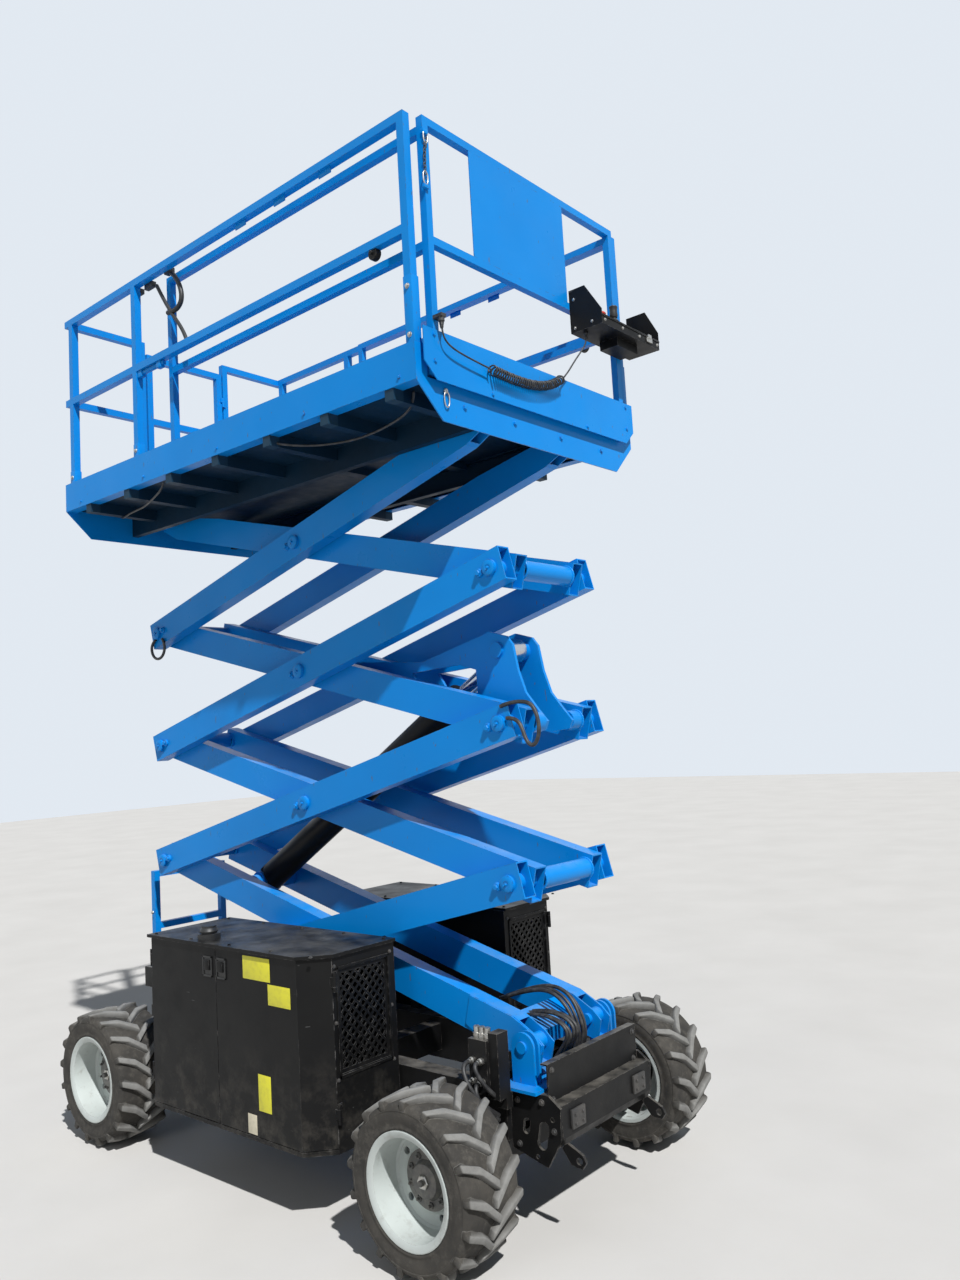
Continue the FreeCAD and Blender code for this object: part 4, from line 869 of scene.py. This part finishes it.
def wheel_trim(name, hub, side):
    out = (0.0, side, 0.0)
    nuts = []
    for i in range(NUTS):
        place = hub + wheel_point(side * RIM_PAD, NUT_CIRCLE, 2.0 * math.pi * (i + 0.3) / NUTS)
        nuts.append((tuple(place), out))
    bolts("wheel_nuts_" + name, nuts, 0.0125, HUB, "wheel_" + name)
    studs = [(Vector(place) + Vector(out) * 0.010, out, [(0.0058, 0.0), (0.0058, 0.010), (0.0048, 0.012)])
             for place, facing in nuts]
    end = hub + Vector((0.0, side * (HUB_FACE - 0.014), 0.0))
    discs("wheel_studs_" + name, studs + [(end, out, [(0.012, 0.0), (0.012, 0.040), (0.009, 0.043)])], 14, HUB,
          "wheel_" + name)
    discs("castle_nut_" + name, [(end, out, [(0.0275, 0.0), (0.0275, 0.026), (0.0245, 0.029)])], 6, ZINC,
          "wheel_" + name)
    face = hub + Vector((0.0, side * (RIM_PAD - 0.001), 0.0))
    discs("hub_plate_" + name, [(face, out, [(0.112, 0.0), (0.112, 0.0035), (0.108, 0.0045), (0.074, 0.0045),
                                             (0.070, 0.012), (0.062, 0.026), (0.057, 0.0275)])], 56, HUB,
          "wheel_" + name)
    valve = hub + wheel_point(side * 0.014, 0.158, 2.2)
    discs("tyre_valve_" + name, [(valve, out, [(0.006, 0.0), (0.005, 0.014), (0.0042, 0.016), (0.0042, 0.026)])], 12,
          PLASTIC, "wheel_" + name)


def wheels():
    # name, end, side
    for name, end, side in (("front_right", 1, -1), ("front_left", 1, 1), ("rear_right", -1, -1), ("rear_left", -1, 1)):
        hub = Vector((end * AXLE_X, side * WHEEL_Y, WHEEL_Z))
        lugged_tyre(name, hub)
        dished_rim(name, hub, side)
        wheel_trim(name, hub, side)


# Side boxes: blank plates, latches, screws
def box_plates():
    y = -BOX_OUTER_Y
    # name, x, z, width, height, material
    plates = [("plate_wide", 0.263, 1.036, 0.190, 0.098, YELLOW), ("plate_small", 0.416, 0.936, 0.150, 0.086, YELLOW),
              ("plate_tall", 0.296, 0.519, 0.086, 0.152, YELLOW), ("plate_cream", 0.203, 0.377, 0.062, 0.082, CREAM)]
    for name, x, z, width, height, material in plates:
        blocks(name, [((x - width / 2, y - 0.0012, z - height / 2), (x + width / 2, y + 0.0004, z + height / 2))], 0.0004,
               material, "engine_front_door")


def box_latches(side, rear_body, front_body, tag):
    # x of the latch, body of its door
    for x, body in ((-0.098, rear_body), (0.006, front_body)):
        y, z = side * BOX_OUTER_Y, 1.010
        cup = [((x + a, y, z + c), (x + b, y + side * 0.005, z + d))
               for a, b, c, d in ((-0.036, 0.036, 0.038, 0.046), (-0.036, 0.036, -0.046, -0.038),
                                  (-0.036, -0.028, -0.046, 0.046), (0.028, 0.036, -0.046, 0.046))]
        cup.append(((x - 0.030, y, z - 0.040), (x + 0.030, y + side * 0.0015, z + 0.040)))
        blocks("latch_cup_%s_%s" % (tag, body), cup, 0.0012, PLASTIC, body)
        blocks("latch_paddle_%s_%s" % (tag, body),
               [((x - 0.020, y, z - 0.016), (x + 0.020, y + side * 0.009, z + 0.030))], 0.0030, BLACK, body)


def box_screws(side, box_body, tag):
    lid = [((x, side * y, 1.114), (0, 0, 1)) for x in (-0.545, -0.25, 0.05, 0.35, 0.615) for y in (0.42, 0.835)]
    bolts("lid_screws_" + tag, lid, 0.0065, BLACK, box_body)
    grille = [((0.640, side * y, z), (1, 0, 0)) for y in (0.412, 0.733) for z in (0.60, 0.83, 1.06)]
    bolts("grille_screws_" + tag, grille, 0.0065, IRON, box_body)
    blocks("grille_frame_" + tag, [((0.640, side * 0.420, 1.044), (0.645, side * 0.725, 1.056)),
                                   ((0.640, side * 0.420, 0.604), (0.645, side * 0.725, 0.616)),
                                   ((0.640, side * 0.420, 0.604), (0.645, side * 0.430, 1.056)),
                                   ((0.640, side * 0.715, 0.604), (0.645, side * 0.725, 1.056))], 0.0015, BLACK,
           box_body)


# Scissor arms
def on_arm(kind, level, along, above=0.0):
    """x and z of a place along an inner or outer arm, measured from its lower pin."""
    low = BASE_PIN_Z + (level - 1) * LEVEL_RISE
    c, s = math.cos(ARM_ANGLE), math.sin(ARM_ANGLE)
    if kind == "inner":
        return FRONT_COLUMN_X - along * c + above * s, low + along * s + above * c
    return REAR_COLUMN_X + along * c - above * s, low + along * s + above * c


def arm_pins():
    """Keeper bolts and grease nipples at the pin heads on the outer faces of the outer arms."""
    for level in range(1, LEVELS + 1):
        keepers, collars = [], []
        for at in (0.0, ARM_LENGTH / 2.0, ARM_LENGTH):
            if (level == 1 and at == 0.0) or (level == LEVELS and at == ARM_LENGTH):
                continue
            x, z = on_arm("outer", level, at)
            u, w = on_arm("outer", level, at + 0.060 if at == 0.0 else at - 0.060)
            for side in (1, -1):
                out = (0.0, side, 0.0)
                keepers.append(((u, side * (ARM_FACE_Y + 0.010), w), out))
                collars.append(((u, side * ARM_FACE_Y, w), out, [(0.019, 0.0), (0.019, 0.008), (0.0165, 0.0105)]))
                collars.append(((x, side * (ARM_FACE_Y + PIN_HEAD - 0.001), z), out,
                                [(0.0335, 0.0), (0.0335, 0.003), (0.031, 0.0045), (0.014, 0.0045), (0.013, 0.003),
                                 (0.0055, 0.003), (0.0050, 0.011), (0.0035, 0.012)]))
        bolts("pin_keepers_%d" % level, keepers, 0.0125, BLUE, "outer_%d" % level)
        discs("pin_collars_%d" % level, collars, 28, BLUE, "outer_%d" % level)


def weld_bead(bm, centre, radius, bead, side):
    """Rippled ring of weld where a cross tube meets an arm's inner face."""
    rings = []
    for i in range(64):
        a = 2.0 * math.pi * i / 64
        swell = bead * (1.0 + 0.16 * math.sin(a * 23.0))
        ring = []
        for k in range(8):
            b = 2.0 * math.pi * k / 8
            out = radius + swell * math.cos(b)
            ring.append(bm.verts.new((centre[0] + out * math.cos(a), centre[1] + side * swell * math.sin(b),
                                      centre[2] + out * math.sin(a))))
        rings.append(ring)
    faces = []
    for i in range(64):
        one, two = rings[i], rings[(i + 1) % 64]
        for k in range(8):
            m = (k + 1) % 8
            faces.append(bm.faces.new((one[k], one[m], two[m], two[k])))
    bmesh.ops.recalc_face_normals(bm, faces=faces)


def arm_welds():
    for level in range(1, LEVELS + 1):
        bm = bmesh.new()
        ends = [-0.034] if level != 1 else []
        if level != LEVELS:
            ends.append(ARM_LENGTH + 0.034)
        for at in ends:
            x, z = on_arm("inner", level, at, 0.008)
            for side in (1, -1):
                weld_bead(bm, (x, side * (INNER_Y_IN - 0.001), z), 0.0455, 0.0045, side)
        from_bmesh("tube_welds_%d" % level, bm, BLUE, "inner_%d" % level, 60.0)


# Hoses over the beam of the lowest inner arms, and the loops at the arms' ends
HOSE_UPPER = [(0.900, 0.792), (0.972, 0.815), (1.070, 0.848), (1.191, 0.866), (1.268, 0.815), (1.307, 0.750),
              (1.319, 0.683), (1.307, 0.640), (1.290, 0.600)]
HOSE_LOWER = [(0.940, 0.722), (1.019, 0.750), (1.142, 0.781), (1.260, 0.789), (1.344, 0.760), (1.358, 0.714),
              (1.310, 0.653), (1.281, 0.621), (1.262, 0.590)]


def plain_tube(name, points, radius, material, body):
    """Round tube as a mesh, for hoses that run between two bodies."""
    piece = smooth_curve(name, points, radius, material, body)
    mesh = bpy.data.meshes.new_from_object(piece.evaluated_get(bpy.context.evaluated_depsgraph_get()))
    bpy.data.objects.remove(piece)
    mesh.shade_smooth()
    return finish_piece(name, mesh, material, body)


def beam_hoses():
    # y of the hose, route, radius
    rows = [(0.018, HOSE_UPPER, 0.0085), (0.042, HOSE_UPPER, 0.0075), (0.064, HOSE_UPPER, 0.0085),
            (0.090, HOSE_UPPER, 0.0070), (-0.022, HOSE_LOWER, 0.0085), (-0.046, HOSE_LOWER, 0.0075),
            (-0.070, HOSE_LOWER, 0.0085), (-0.094, HOSE_LOWER, 0.0070)]
    for number, (y, route, radius) in enumerate(rows):
        spread = random.uniform(-1.0, 1.0)
        points = []
        for i, (x, z) in enumerate(route):
            lift = 0.012 * spread * math.sin(math.pi * i / (len(route) - 1))
            points.append((x + lift * 0.5, y + 0.010 * spread * math.sin(2.2 * i), z + lift))
        hose = plain_tube("beam_hose_%d" % number, points, radius, HOSE, None)
        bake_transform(hose)


def arm_loops():
    """Hose loops that hang at the ends of the arms on the right side."""
    right = [(1.290, 2.100), (1.343, 2.115), (1.430, 2.118), (1.472, 2.085), (1.494, 1.993), (1.458, 1.922),
             (1.414, 1.948), (1.400, 2.010), (1.370, 2.050), (1.320, 2.050)]
    smooth_curve("hose_loop_right_end", [(x, -0.330, z) for x, z in right], 0.0085, HOSE, "outer_2")
    left = [(-1.300, 2.650), (-1.349, 2.626), (-1.345, 2.566), (-1.289, 2.528), (-1.215, 2.545), (-1.195, 2.611),
            (-1.230, 2.650)]
    smooth_curve("hose_loop_left_end", [(x, -0.336, z) for x, z in left], 0.0080, HOSE, "outer_4")


def deck_cables():
    """Cables that hang in slack bows below the outriggers."""
    first = [(1.240, -0.700, 3.378), (1.185, -0.646, 3.334), (1.026, -0.598, 3.326), (0.838, -0.567, 3.322),
             (0.646, -0.573, 3.326), (0.488, -0.673, 3.330), (0.381, -0.742, 3.362)]
    second = [(-0.520, -0.742, 3.366), (-0.558, -0.735, 3.332), (-0.704, -0.699, 3.324), (-0.881, -0.636, 3.322),
              (-1.064, -0.631, 3.324), (-1.256, -0.558, 3.332), (-1.300, -0.540, 3.366)]
    smooth_curve("deck_cable_front", first, 0.0055, HOSE, "platform")
    smooth_curve("deck_cable_rear", second, 0.0055, HOSE, "platform")


# Nose, cover plate and valve block
def nose_trim():
    x = NOSE_COVER_X
    corners = [((x, y, z), (1, 0, 0)) for y in (-0.295, 0.295) for z in (0.535, 0.648)]
    bolts("cover_bolts", corners, 0.0095, IRON, "chassis")
    sides = [((u, side * 0.334, z), (0, side, 0)) for side in (1, -1)
             for u, z in ((1.262, 0.350), (1.262, 0.520), (1.385, 0.530), (1.440, 0.430))]
    bolts("nose_side_bolts", sides, 0.010, IRON, "chassis")
    blocks("apron_castings", [((1.474, y - 0.045, 0.425), (1.486, y + 0.045, 0.500)) for y in (0.225, -0.225)], 0.004,
           IRON, "chassis")
    caps = [((1.486, y, z), (1, 0, 0)) for y in (0.200, 0.250, -0.200, -0.250) for z in (0.445, 0.480)]
    bolts("apron_bolts", caps, 0.0065, IRON, "chassis")


def valve_trim():
    forms = [((x, -0.420, 0.770), (0, 0, 1), [(0.017, 0.0), (0.017, 0.018), (0.013, 0.020), (0.013, 0.042), (0.009, 0.045)])
             for x in (1.140, 1.168, 1.197)]
    forms += [((x, -0.455, z), (0, -1, 0), [(0.014, 0.0), (0.014, 0.014), (0.010, 0.016), (0.010, 0.030), (0.006, 0.032)])
              for x, z in ((1.145, 0.610), (1.190, 0.610), (1.145, 0.690), (1.190, 0.690))]
    discs("valve_cartridges", forms, 18, ZINC, "chassis")
    # Route of each hose from the valve block to the frame, clear of the steered tyre
    routes = [[(1.145, -0.487, 0.690), (1.145, -0.520, 0.692), (1.165, -0.545, 0.650), (1.215, -0.520, 0.560),
               (1.225, -0.450, 0.500), (1.215, -0.400, 0.470)],
              [(1.190, -0.487, 0.690), (1.192, -0.512, 0.690), (1.214, -0.508, 0.640), (1.234, -0.462, 0.580),
               (1.234, -0.402, 0.530), (1.222, -0.345, 0.500)],
              [(1.190, -0.487, 0.610), (1.195, -0.515, 0.606), (1.215, -0.520, 0.550), (1.225, -0.460, 0.490),
               (1.210, -0.395, 0.450)]]
    for number, points in enumerate(routes):
        smooth_curve("valve_hose_%d" % number, points, 0.0090, HOSE, "chassis")


# Platform
def rail_sleeves():
    """Sockets that hold the rails' posts, with their pins; the front ones reach up to the mid rail's latch."""
    boxes = []
    for side in (1, -1):
        for x, top in ((-1.395, 3.612), (-0.720, 3.612), (1.308, 3.820)):
            boxes.append(((x - 0.0235, side * 0.7335, 3.410), (x + 0.0235, side * 0.7765, top)))
    blocks("post_sockets", boxes, 0.0025, BLUE, "platform")
    pins = []
    for side in (1, -1):
        pins += [((x, side * 0.7775, z), (0, side, 0)) for x in (-1.395, -0.720) for z in (3.575,)]
        pins += [((1.308, side * 0.7775, z), (0, side, 0)) for z in (3.575, 3.775)]
    bolts("socket_bolts", pins, 0.0085, ZINC, "platform")


def open_ends():
    """Dark plates in the open ends of the corner tubes, inside their bright rims: painted shade for the hollow inside
    the tubes.
    """
    half = 0.0145
    main = [((1.308 - half, side * RAIL_Y - half, 4.5090), (1.308 + half, side * RAIL_Y + half, 4.5099))
            for side in (1, -1)]
    blocks("main_tube_end_shade", main, 0.0002, PLASTIC, "platform")
    low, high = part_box("extension_rails")
    ends = [((high.x - 0.030, side * 0.678 - 0.013, 4.5090), (high.x - 0.004, side * 0.678 + 0.013, 4.5099))
            for side in (1, -1)]
    blocks("extension_tube_end_shade", ends, 0.0002, PLASTIC, "extension")


def rail_fittings():
    """Latches under the mid rails, the grab handle inside the top rail and its strut."""
    for side in (-1, 1):
        tag = "right" if side < 0 else "left"
        y = side * 0.7775
        discs("rail_latch_" + tag, [((1.110, side * 0.742, 3.986), (0, side, 0),
                                     [(0.027, 0.0), (0.027, 0.022), (0.024, 0.026), (0.009, 0.027), (0.008, 0.038)])],
              28, CHASSIS, "platform")
        blocks("rail_lock_" + tag, [((-0.745, side * 0.744, 3.978), (-0.463, side * 0.764, 3.996)),
                                    ((-0.700, side * 0.742, 3.966), (-0.660, side * 0.770, 4.001)),
                                    ((-0.520, side * 0.742, 3.966), (-0.480, side * 0.770, 4.001))], 0.003, BLUE,
               "platform")
        blocks("rail_tabs_" + tag, [((x - 0.040, side * 0.757, 4.444), (x + 0.040, side * 0.762, 4.476))
                                    for x in (0.832, 0.517, 0.223)], 0.0015, BLUE, "platform")
    handle = [(-0.440, -0.722, 4.474), (-0.395, -0.722, 4.440), (-0.347, -0.722, 4.365), (-0.336, -0.722, 4.300),
              (-0.360, -0.722, 4.262), (-0.410, -0.722, 4.250), (-0.470, -0.722, 4.262)]
    smooth_curve("grab_handle", handle, 0.0125, PLASTIC, "platform")
    strut = [(-0.560, -0.726, 4.440), (-0.500, -0.724, 4.340), (-0.430, -0.722, 4.240), (-0.350, -0.722, 4.150),
             (-0.295, -0.726, 4.060), (-0.290, -0.732, 4.030)]
    smooth_curve("handle_strut", strut, 0.0100, PLASTIC, "platform")
    blocks("handle_blocks", [((-0.470, -0.740, 4.462), (-0.415, -0.708, 4.492)),
                             ((-0.660, -0.740, 4.444), (-0.585, -0.712, 4.474)),
                             ((-0.765, -0.740, 4.444), (-0.700, -0.712, 4.472))], 0.004, PLASTIC, "platform")


def deck_bolts():
    front = [((DECK_FRONT_X, y, 3.330), (1, 0, 0)) for y in (-0.50, -0.17, 0.17, 0.50)]
    bolts("deck_front_bolts", front, 0.0095, BLUE, "platform")
    sides = [((x, side * 0.780, 3.420), (0, side, 0)) for side in (1, -1) for x in (-1.30, -0.65, 0.0, 0.65, 1.24)]
    bolts("deck_side_bolts", sides, 0.0070, BLUE, "platform")
    kick = [((KICK_X, y, z), (1, 0, 0)) for y, z in ((-0.700, 3.580), (-0.700, 3.470), (0.700, 3.580), (0.700, 3.470),
                                                    (-0.35, 3.412), (0.35, 3.412))]
    bolts("kick_plate_bolts", kick, 0.0075, BLUE, "extension")
    rear = [((DECK_REAR_X, y, z), (-1, 0, 0)) for y in (-0.50, 0.0, 0.50) for z in (3.300, 3.500)]
    bolts("deck_rear_bolts", rear, 0.0095, BLUE, "platform")


def snap_hook(name, top, tall, body):
    """Bent wire hook with a gate, hanging from top."""
    x, y, z = top
    half = tall * 0.22
    loop = [(x, y, z), (x, y - half, z - tall * 0.12), (x, y - half, z - tall * 0.5), (x, y - half * 0.8, z - tall * 0.85),
            (x, y, z - tall), (x, y + half * 0.8, z - tall * 0.85), (x, y + half, z - tall * 0.5),
            (x, y + half, z - tall * 0.12), (x, y, z - tall * 0.02)]
    smooth_curve(name, loop, 0.0030, ZINC, body)


def hooks_and_chain():
    x = 1.368
    drop = [(x, -0.690, 4.395), (x, -0.697, 4.350), (x, -0.700, 4.300), (x, -0.700, 4.255)]
    base = line_mesh("chain_line", drop)
    chain = run_tree("post_chain", base, LINKS, IRON, {"Pitch": 0.0155, "Wire": 0.0020})
    finish_piece("post_chain", chain, IRON, "extension")
    snap_hook("chain_hook_high", (x, -0.688, 4.440), 0.058, "extension")
    snap_hook("chain_hook_low", (x, -0.700, 4.262), 0.062, "extension")
    blocks("chain_brackets", [((1.356, -0.702, 4.425), (1.371, -0.674, 4.445)), ((1.356, -0.712, 4.188), (1.371, -0.684, 4.206))],
           0.003, BLUE, "extension")
    snap_hook("kick_hook", (DECK_FRONT_X + 0.008, -0.615, 3.372), 0.070, "platform")
    discs("kick_hook_eye", [((DECK_FRONT_X, -0.615, 3.374), (1, 0, 0), [(0.011, 0.0), (0.011, 0.006), (0.008, 0.009)])],
          18, ZINC, "platform")


# Control box
def control_trim():
    low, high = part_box("control_box")
    z = 3.960
    discs("stick_boot", [((1.399, 0.600, z - 0.002), (0, 0, 1),
                          [(0.034, 0.0), (0.034, 0.006), (0.030, 0.012), (0.031, 0.018), (0.024, 0.026), (0.025, 0.032),
                           (0.017, 0.042), (0.012, 0.052)])], 28, PLASTIC, "extension")
    discs("stick_grip", [((1.399, 0.600, z + 0.050), (0, 0, 1),
                          [(0.0175, 0.0), (0.0205, 0.010), (0.0185, 0.030), (0.0195, 0.046), (0.0215, 0.052),
                           (0.0190, 0.0575)])], 24, PLASTIC, "extension")
    discs("stop_button", [((1.399, 0.480, z + 0.026), (0, 0, 1),
                           [(0.018, 0.0), (0.025, 0.003), (0.027, 0.009), (0.0225, 0.015), (0.014, 0.018)])], 28, RED,
          "extension")
    discs("stop_collar", [((1.399, 0.480, z - 0.002), (0, 0, 1), [(0.024, 0.0), (0.024, 0.006), (0.019, 0.012)])], 28,
          YELLOW, "extension")
    switches = [((1.395 + 0.012 * (i % 2), 0.440 + 0.0001 * i, z - 0.002), (0, 0, 1),
                 [(0.007, 0.0), (0.007, 0.005), (0.0032, 0.006), (0.0036, 0.020), (0.0028, 0.023)]) for i in (0,)]
    switches += [((1.392, y, z - 0.002), (0, 0, 1),
                  [(0.007, 0.0), (0.007, 0.005), (0.0032, 0.006), (0.0036, 0.020), (0.0028, 0.023)])
                 for y in (0.530, 0.552, 0.655)]
    discs("box_switches", switches, 14, ZINC, "extension")
    panel = [((1.512 + 0.0, 0.470, 3.862), (1.5135, 0.640, 3.905))]
    blocks("box_label_panel", panel, 0.0005, PLASTIC, "extension")
    blocks("box_latch", [((1.5355, 0.660, 3.862), (1.5435, 0.710, 3.886)), ((1.5355, 0.672, 3.880), (1.5475, 0.698, 3.900))],
           0.003, ZINC, "extension")
    edge = [((1.532, 0.2755, 3.886), (1.540, 0.785, 3.896)), ((1.364, 0.2745, 4.026), (1.380, 0.282, 4.034))]
    blocks("tray_lips", edge, 0.0025, BLACK, "extension")
    screws = [((1.536, y, 3.872), (1, 0, 0)) for y in (0.300, 0.450, 0.600, 0.765)]
    screws += [((x, 0.275, z0), (0, -1, 0)) for x, z0 in ((1.385, 3.870), (1.385, 4.010), (1.480, 3.875))]
    bolts("box_screws", screws, 0.0055, ZINC, "extension")


# Gate, ladder and beacon
def rear_trim():
    blocks("gate_latch", [((-1.462, -0.272, 4.050), (-1.456, -0.222, 4.110)), ((-1.4725, -0.256, 4.066), (-1.461, -0.238, 4.095))],
           0.002, ZINC, "platform_gate")
    treads = []
    for z in (0.42, 0.70, 0.98):
        treads.append(z)
    low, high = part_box("ladder")
    bolts("ladder_bolts", [((x, side * 0.262, z), (0, side, 0)) for side in (1, -1) for x in (low.x + 0.03,)
                           for z in (0.45, 0.75, 1.05)], 0.0080, ZINC, "chassis")


def beacon_trim():
    low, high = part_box("beacon")
    middle = (low + high) / 2.0
    discs("beacon_ribs", [((middle.x, middle.y, high.z - 0.030), (0, 0, 1), [(0.040, 0.0), (0.042, 0.006), (0.036, 0.020),
                                                                         (0.022, 0.028)])], 32, PLASTIC, "chassis")


def make_studio():
    """Pale floor and world; a sun from the front corner and a soft fill from the right side."""
    bm = bmesh.new()
    bmesh.ops.create_grid(bm, x_segments=1, y_segments=1, size=30.0)
    mesh = bpy.data.meshes.new("floor")
    bm.to_mesh(mesh)
    bm.free()
    mesh.materials.append(floor_concrete())
    floor = bpy.data.objects.new("floor", mesh)
    floor.location.z = -0.001
    bpy.context.scene.collection.objects.link(floor)
    world = bpy.data.worlds.new("studio")
    bpy.context.scene.world = world
    world.use_nodes = True
    tree = world.node_tree
    ambient = tree.nodes["Background"]
    ambient.inputs["Color"].default_value = (0.74, 0.85, 1.0, 1.0)
    ambient.inputs["Strength"].default_value = 0.17
    seen = tree.nodes.new("ShaderNodeBackground")
    seen.inputs["Color"].default_value = (0.80, 0.86, 0.93, 1.0)
    seen.inputs["Strength"].default_value = 0.95
    path = tree.nodes.new("ShaderNodeLightPath")
    either = tree.nodes.new("ShaderNodeMath")
    either.operation = "MAXIMUM"
    blend = tree.nodes.new("ShaderNodeMixShader")
    tree.links.new(path.outputs["Is Camera Ray"], either.inputs[0])
    tree.links.new(path.outputs["Is Glossy Ray"], either.inputs[1])
    tree.links.new(either.outputs["Value"], blend.inputs["Fac"])
    tree.links.new(ambient.outputs["Background"], blend.inputs[1])
    tree.links.new(seen.outputs["Background"], blend.inputs[2])
    tree.links.new(blend.outputs["Shader"], tree.nodes["World Output"].inputs["Surface"])
    # name, kind, place, aim, energy, size or angle
    lamps = [("sun", "SUN", (7.75, -3.9, 11.5), (0.0, 0.0, 1.5), 4.6, 0.020),
             ("fill", "AREA", (2.0, -12.0, 7.5), (0.0, 0.0, 2.2), 150.0, 5.0)]
    for name, kind, place, aim, energy, size in lamps:
        data = bpy.data.lights.new(name, kind)
        data.energy = energy
        if kind == "SUN":
            data.angle = size
        else:
            data.size = size
        lamp = bpy.data.objects.new(name, data)
        lamp.location = place
        lamp.rotation_euler = (Vector(aim) - Vector(place)).to_track_quat("-Z", "Y").to_euler()
        bpy.context.scene.collection.objects.link(lamp)


make_camera()
control_cord()
cord_reliefs()
wheels()
box_plates()
# side, rear door, front door, tag
for side, rear_door, front_door, tag in ((-1, "engine_rear_door", "engine_front_door", "right"),
                                         (1, "tank_rear_door", "tank_front_door", "left")):
    box_latches(side, rear_door, front_door, tag)
    box_screws(side, "chassis", tag)
arm_pins()
arm_welds()
beam_hoses()
arm_loops()
deck_cables()
nose_trim()
valve_trim()
rail_sleeves()
open_ends()
rail_fittings()
deck_bolts()
hooks_and_chain()
control_trim()
rear_trim()
beacon_trim()
make_studio()

bpy.context.scene.view_settings.view_transform = "Standard"
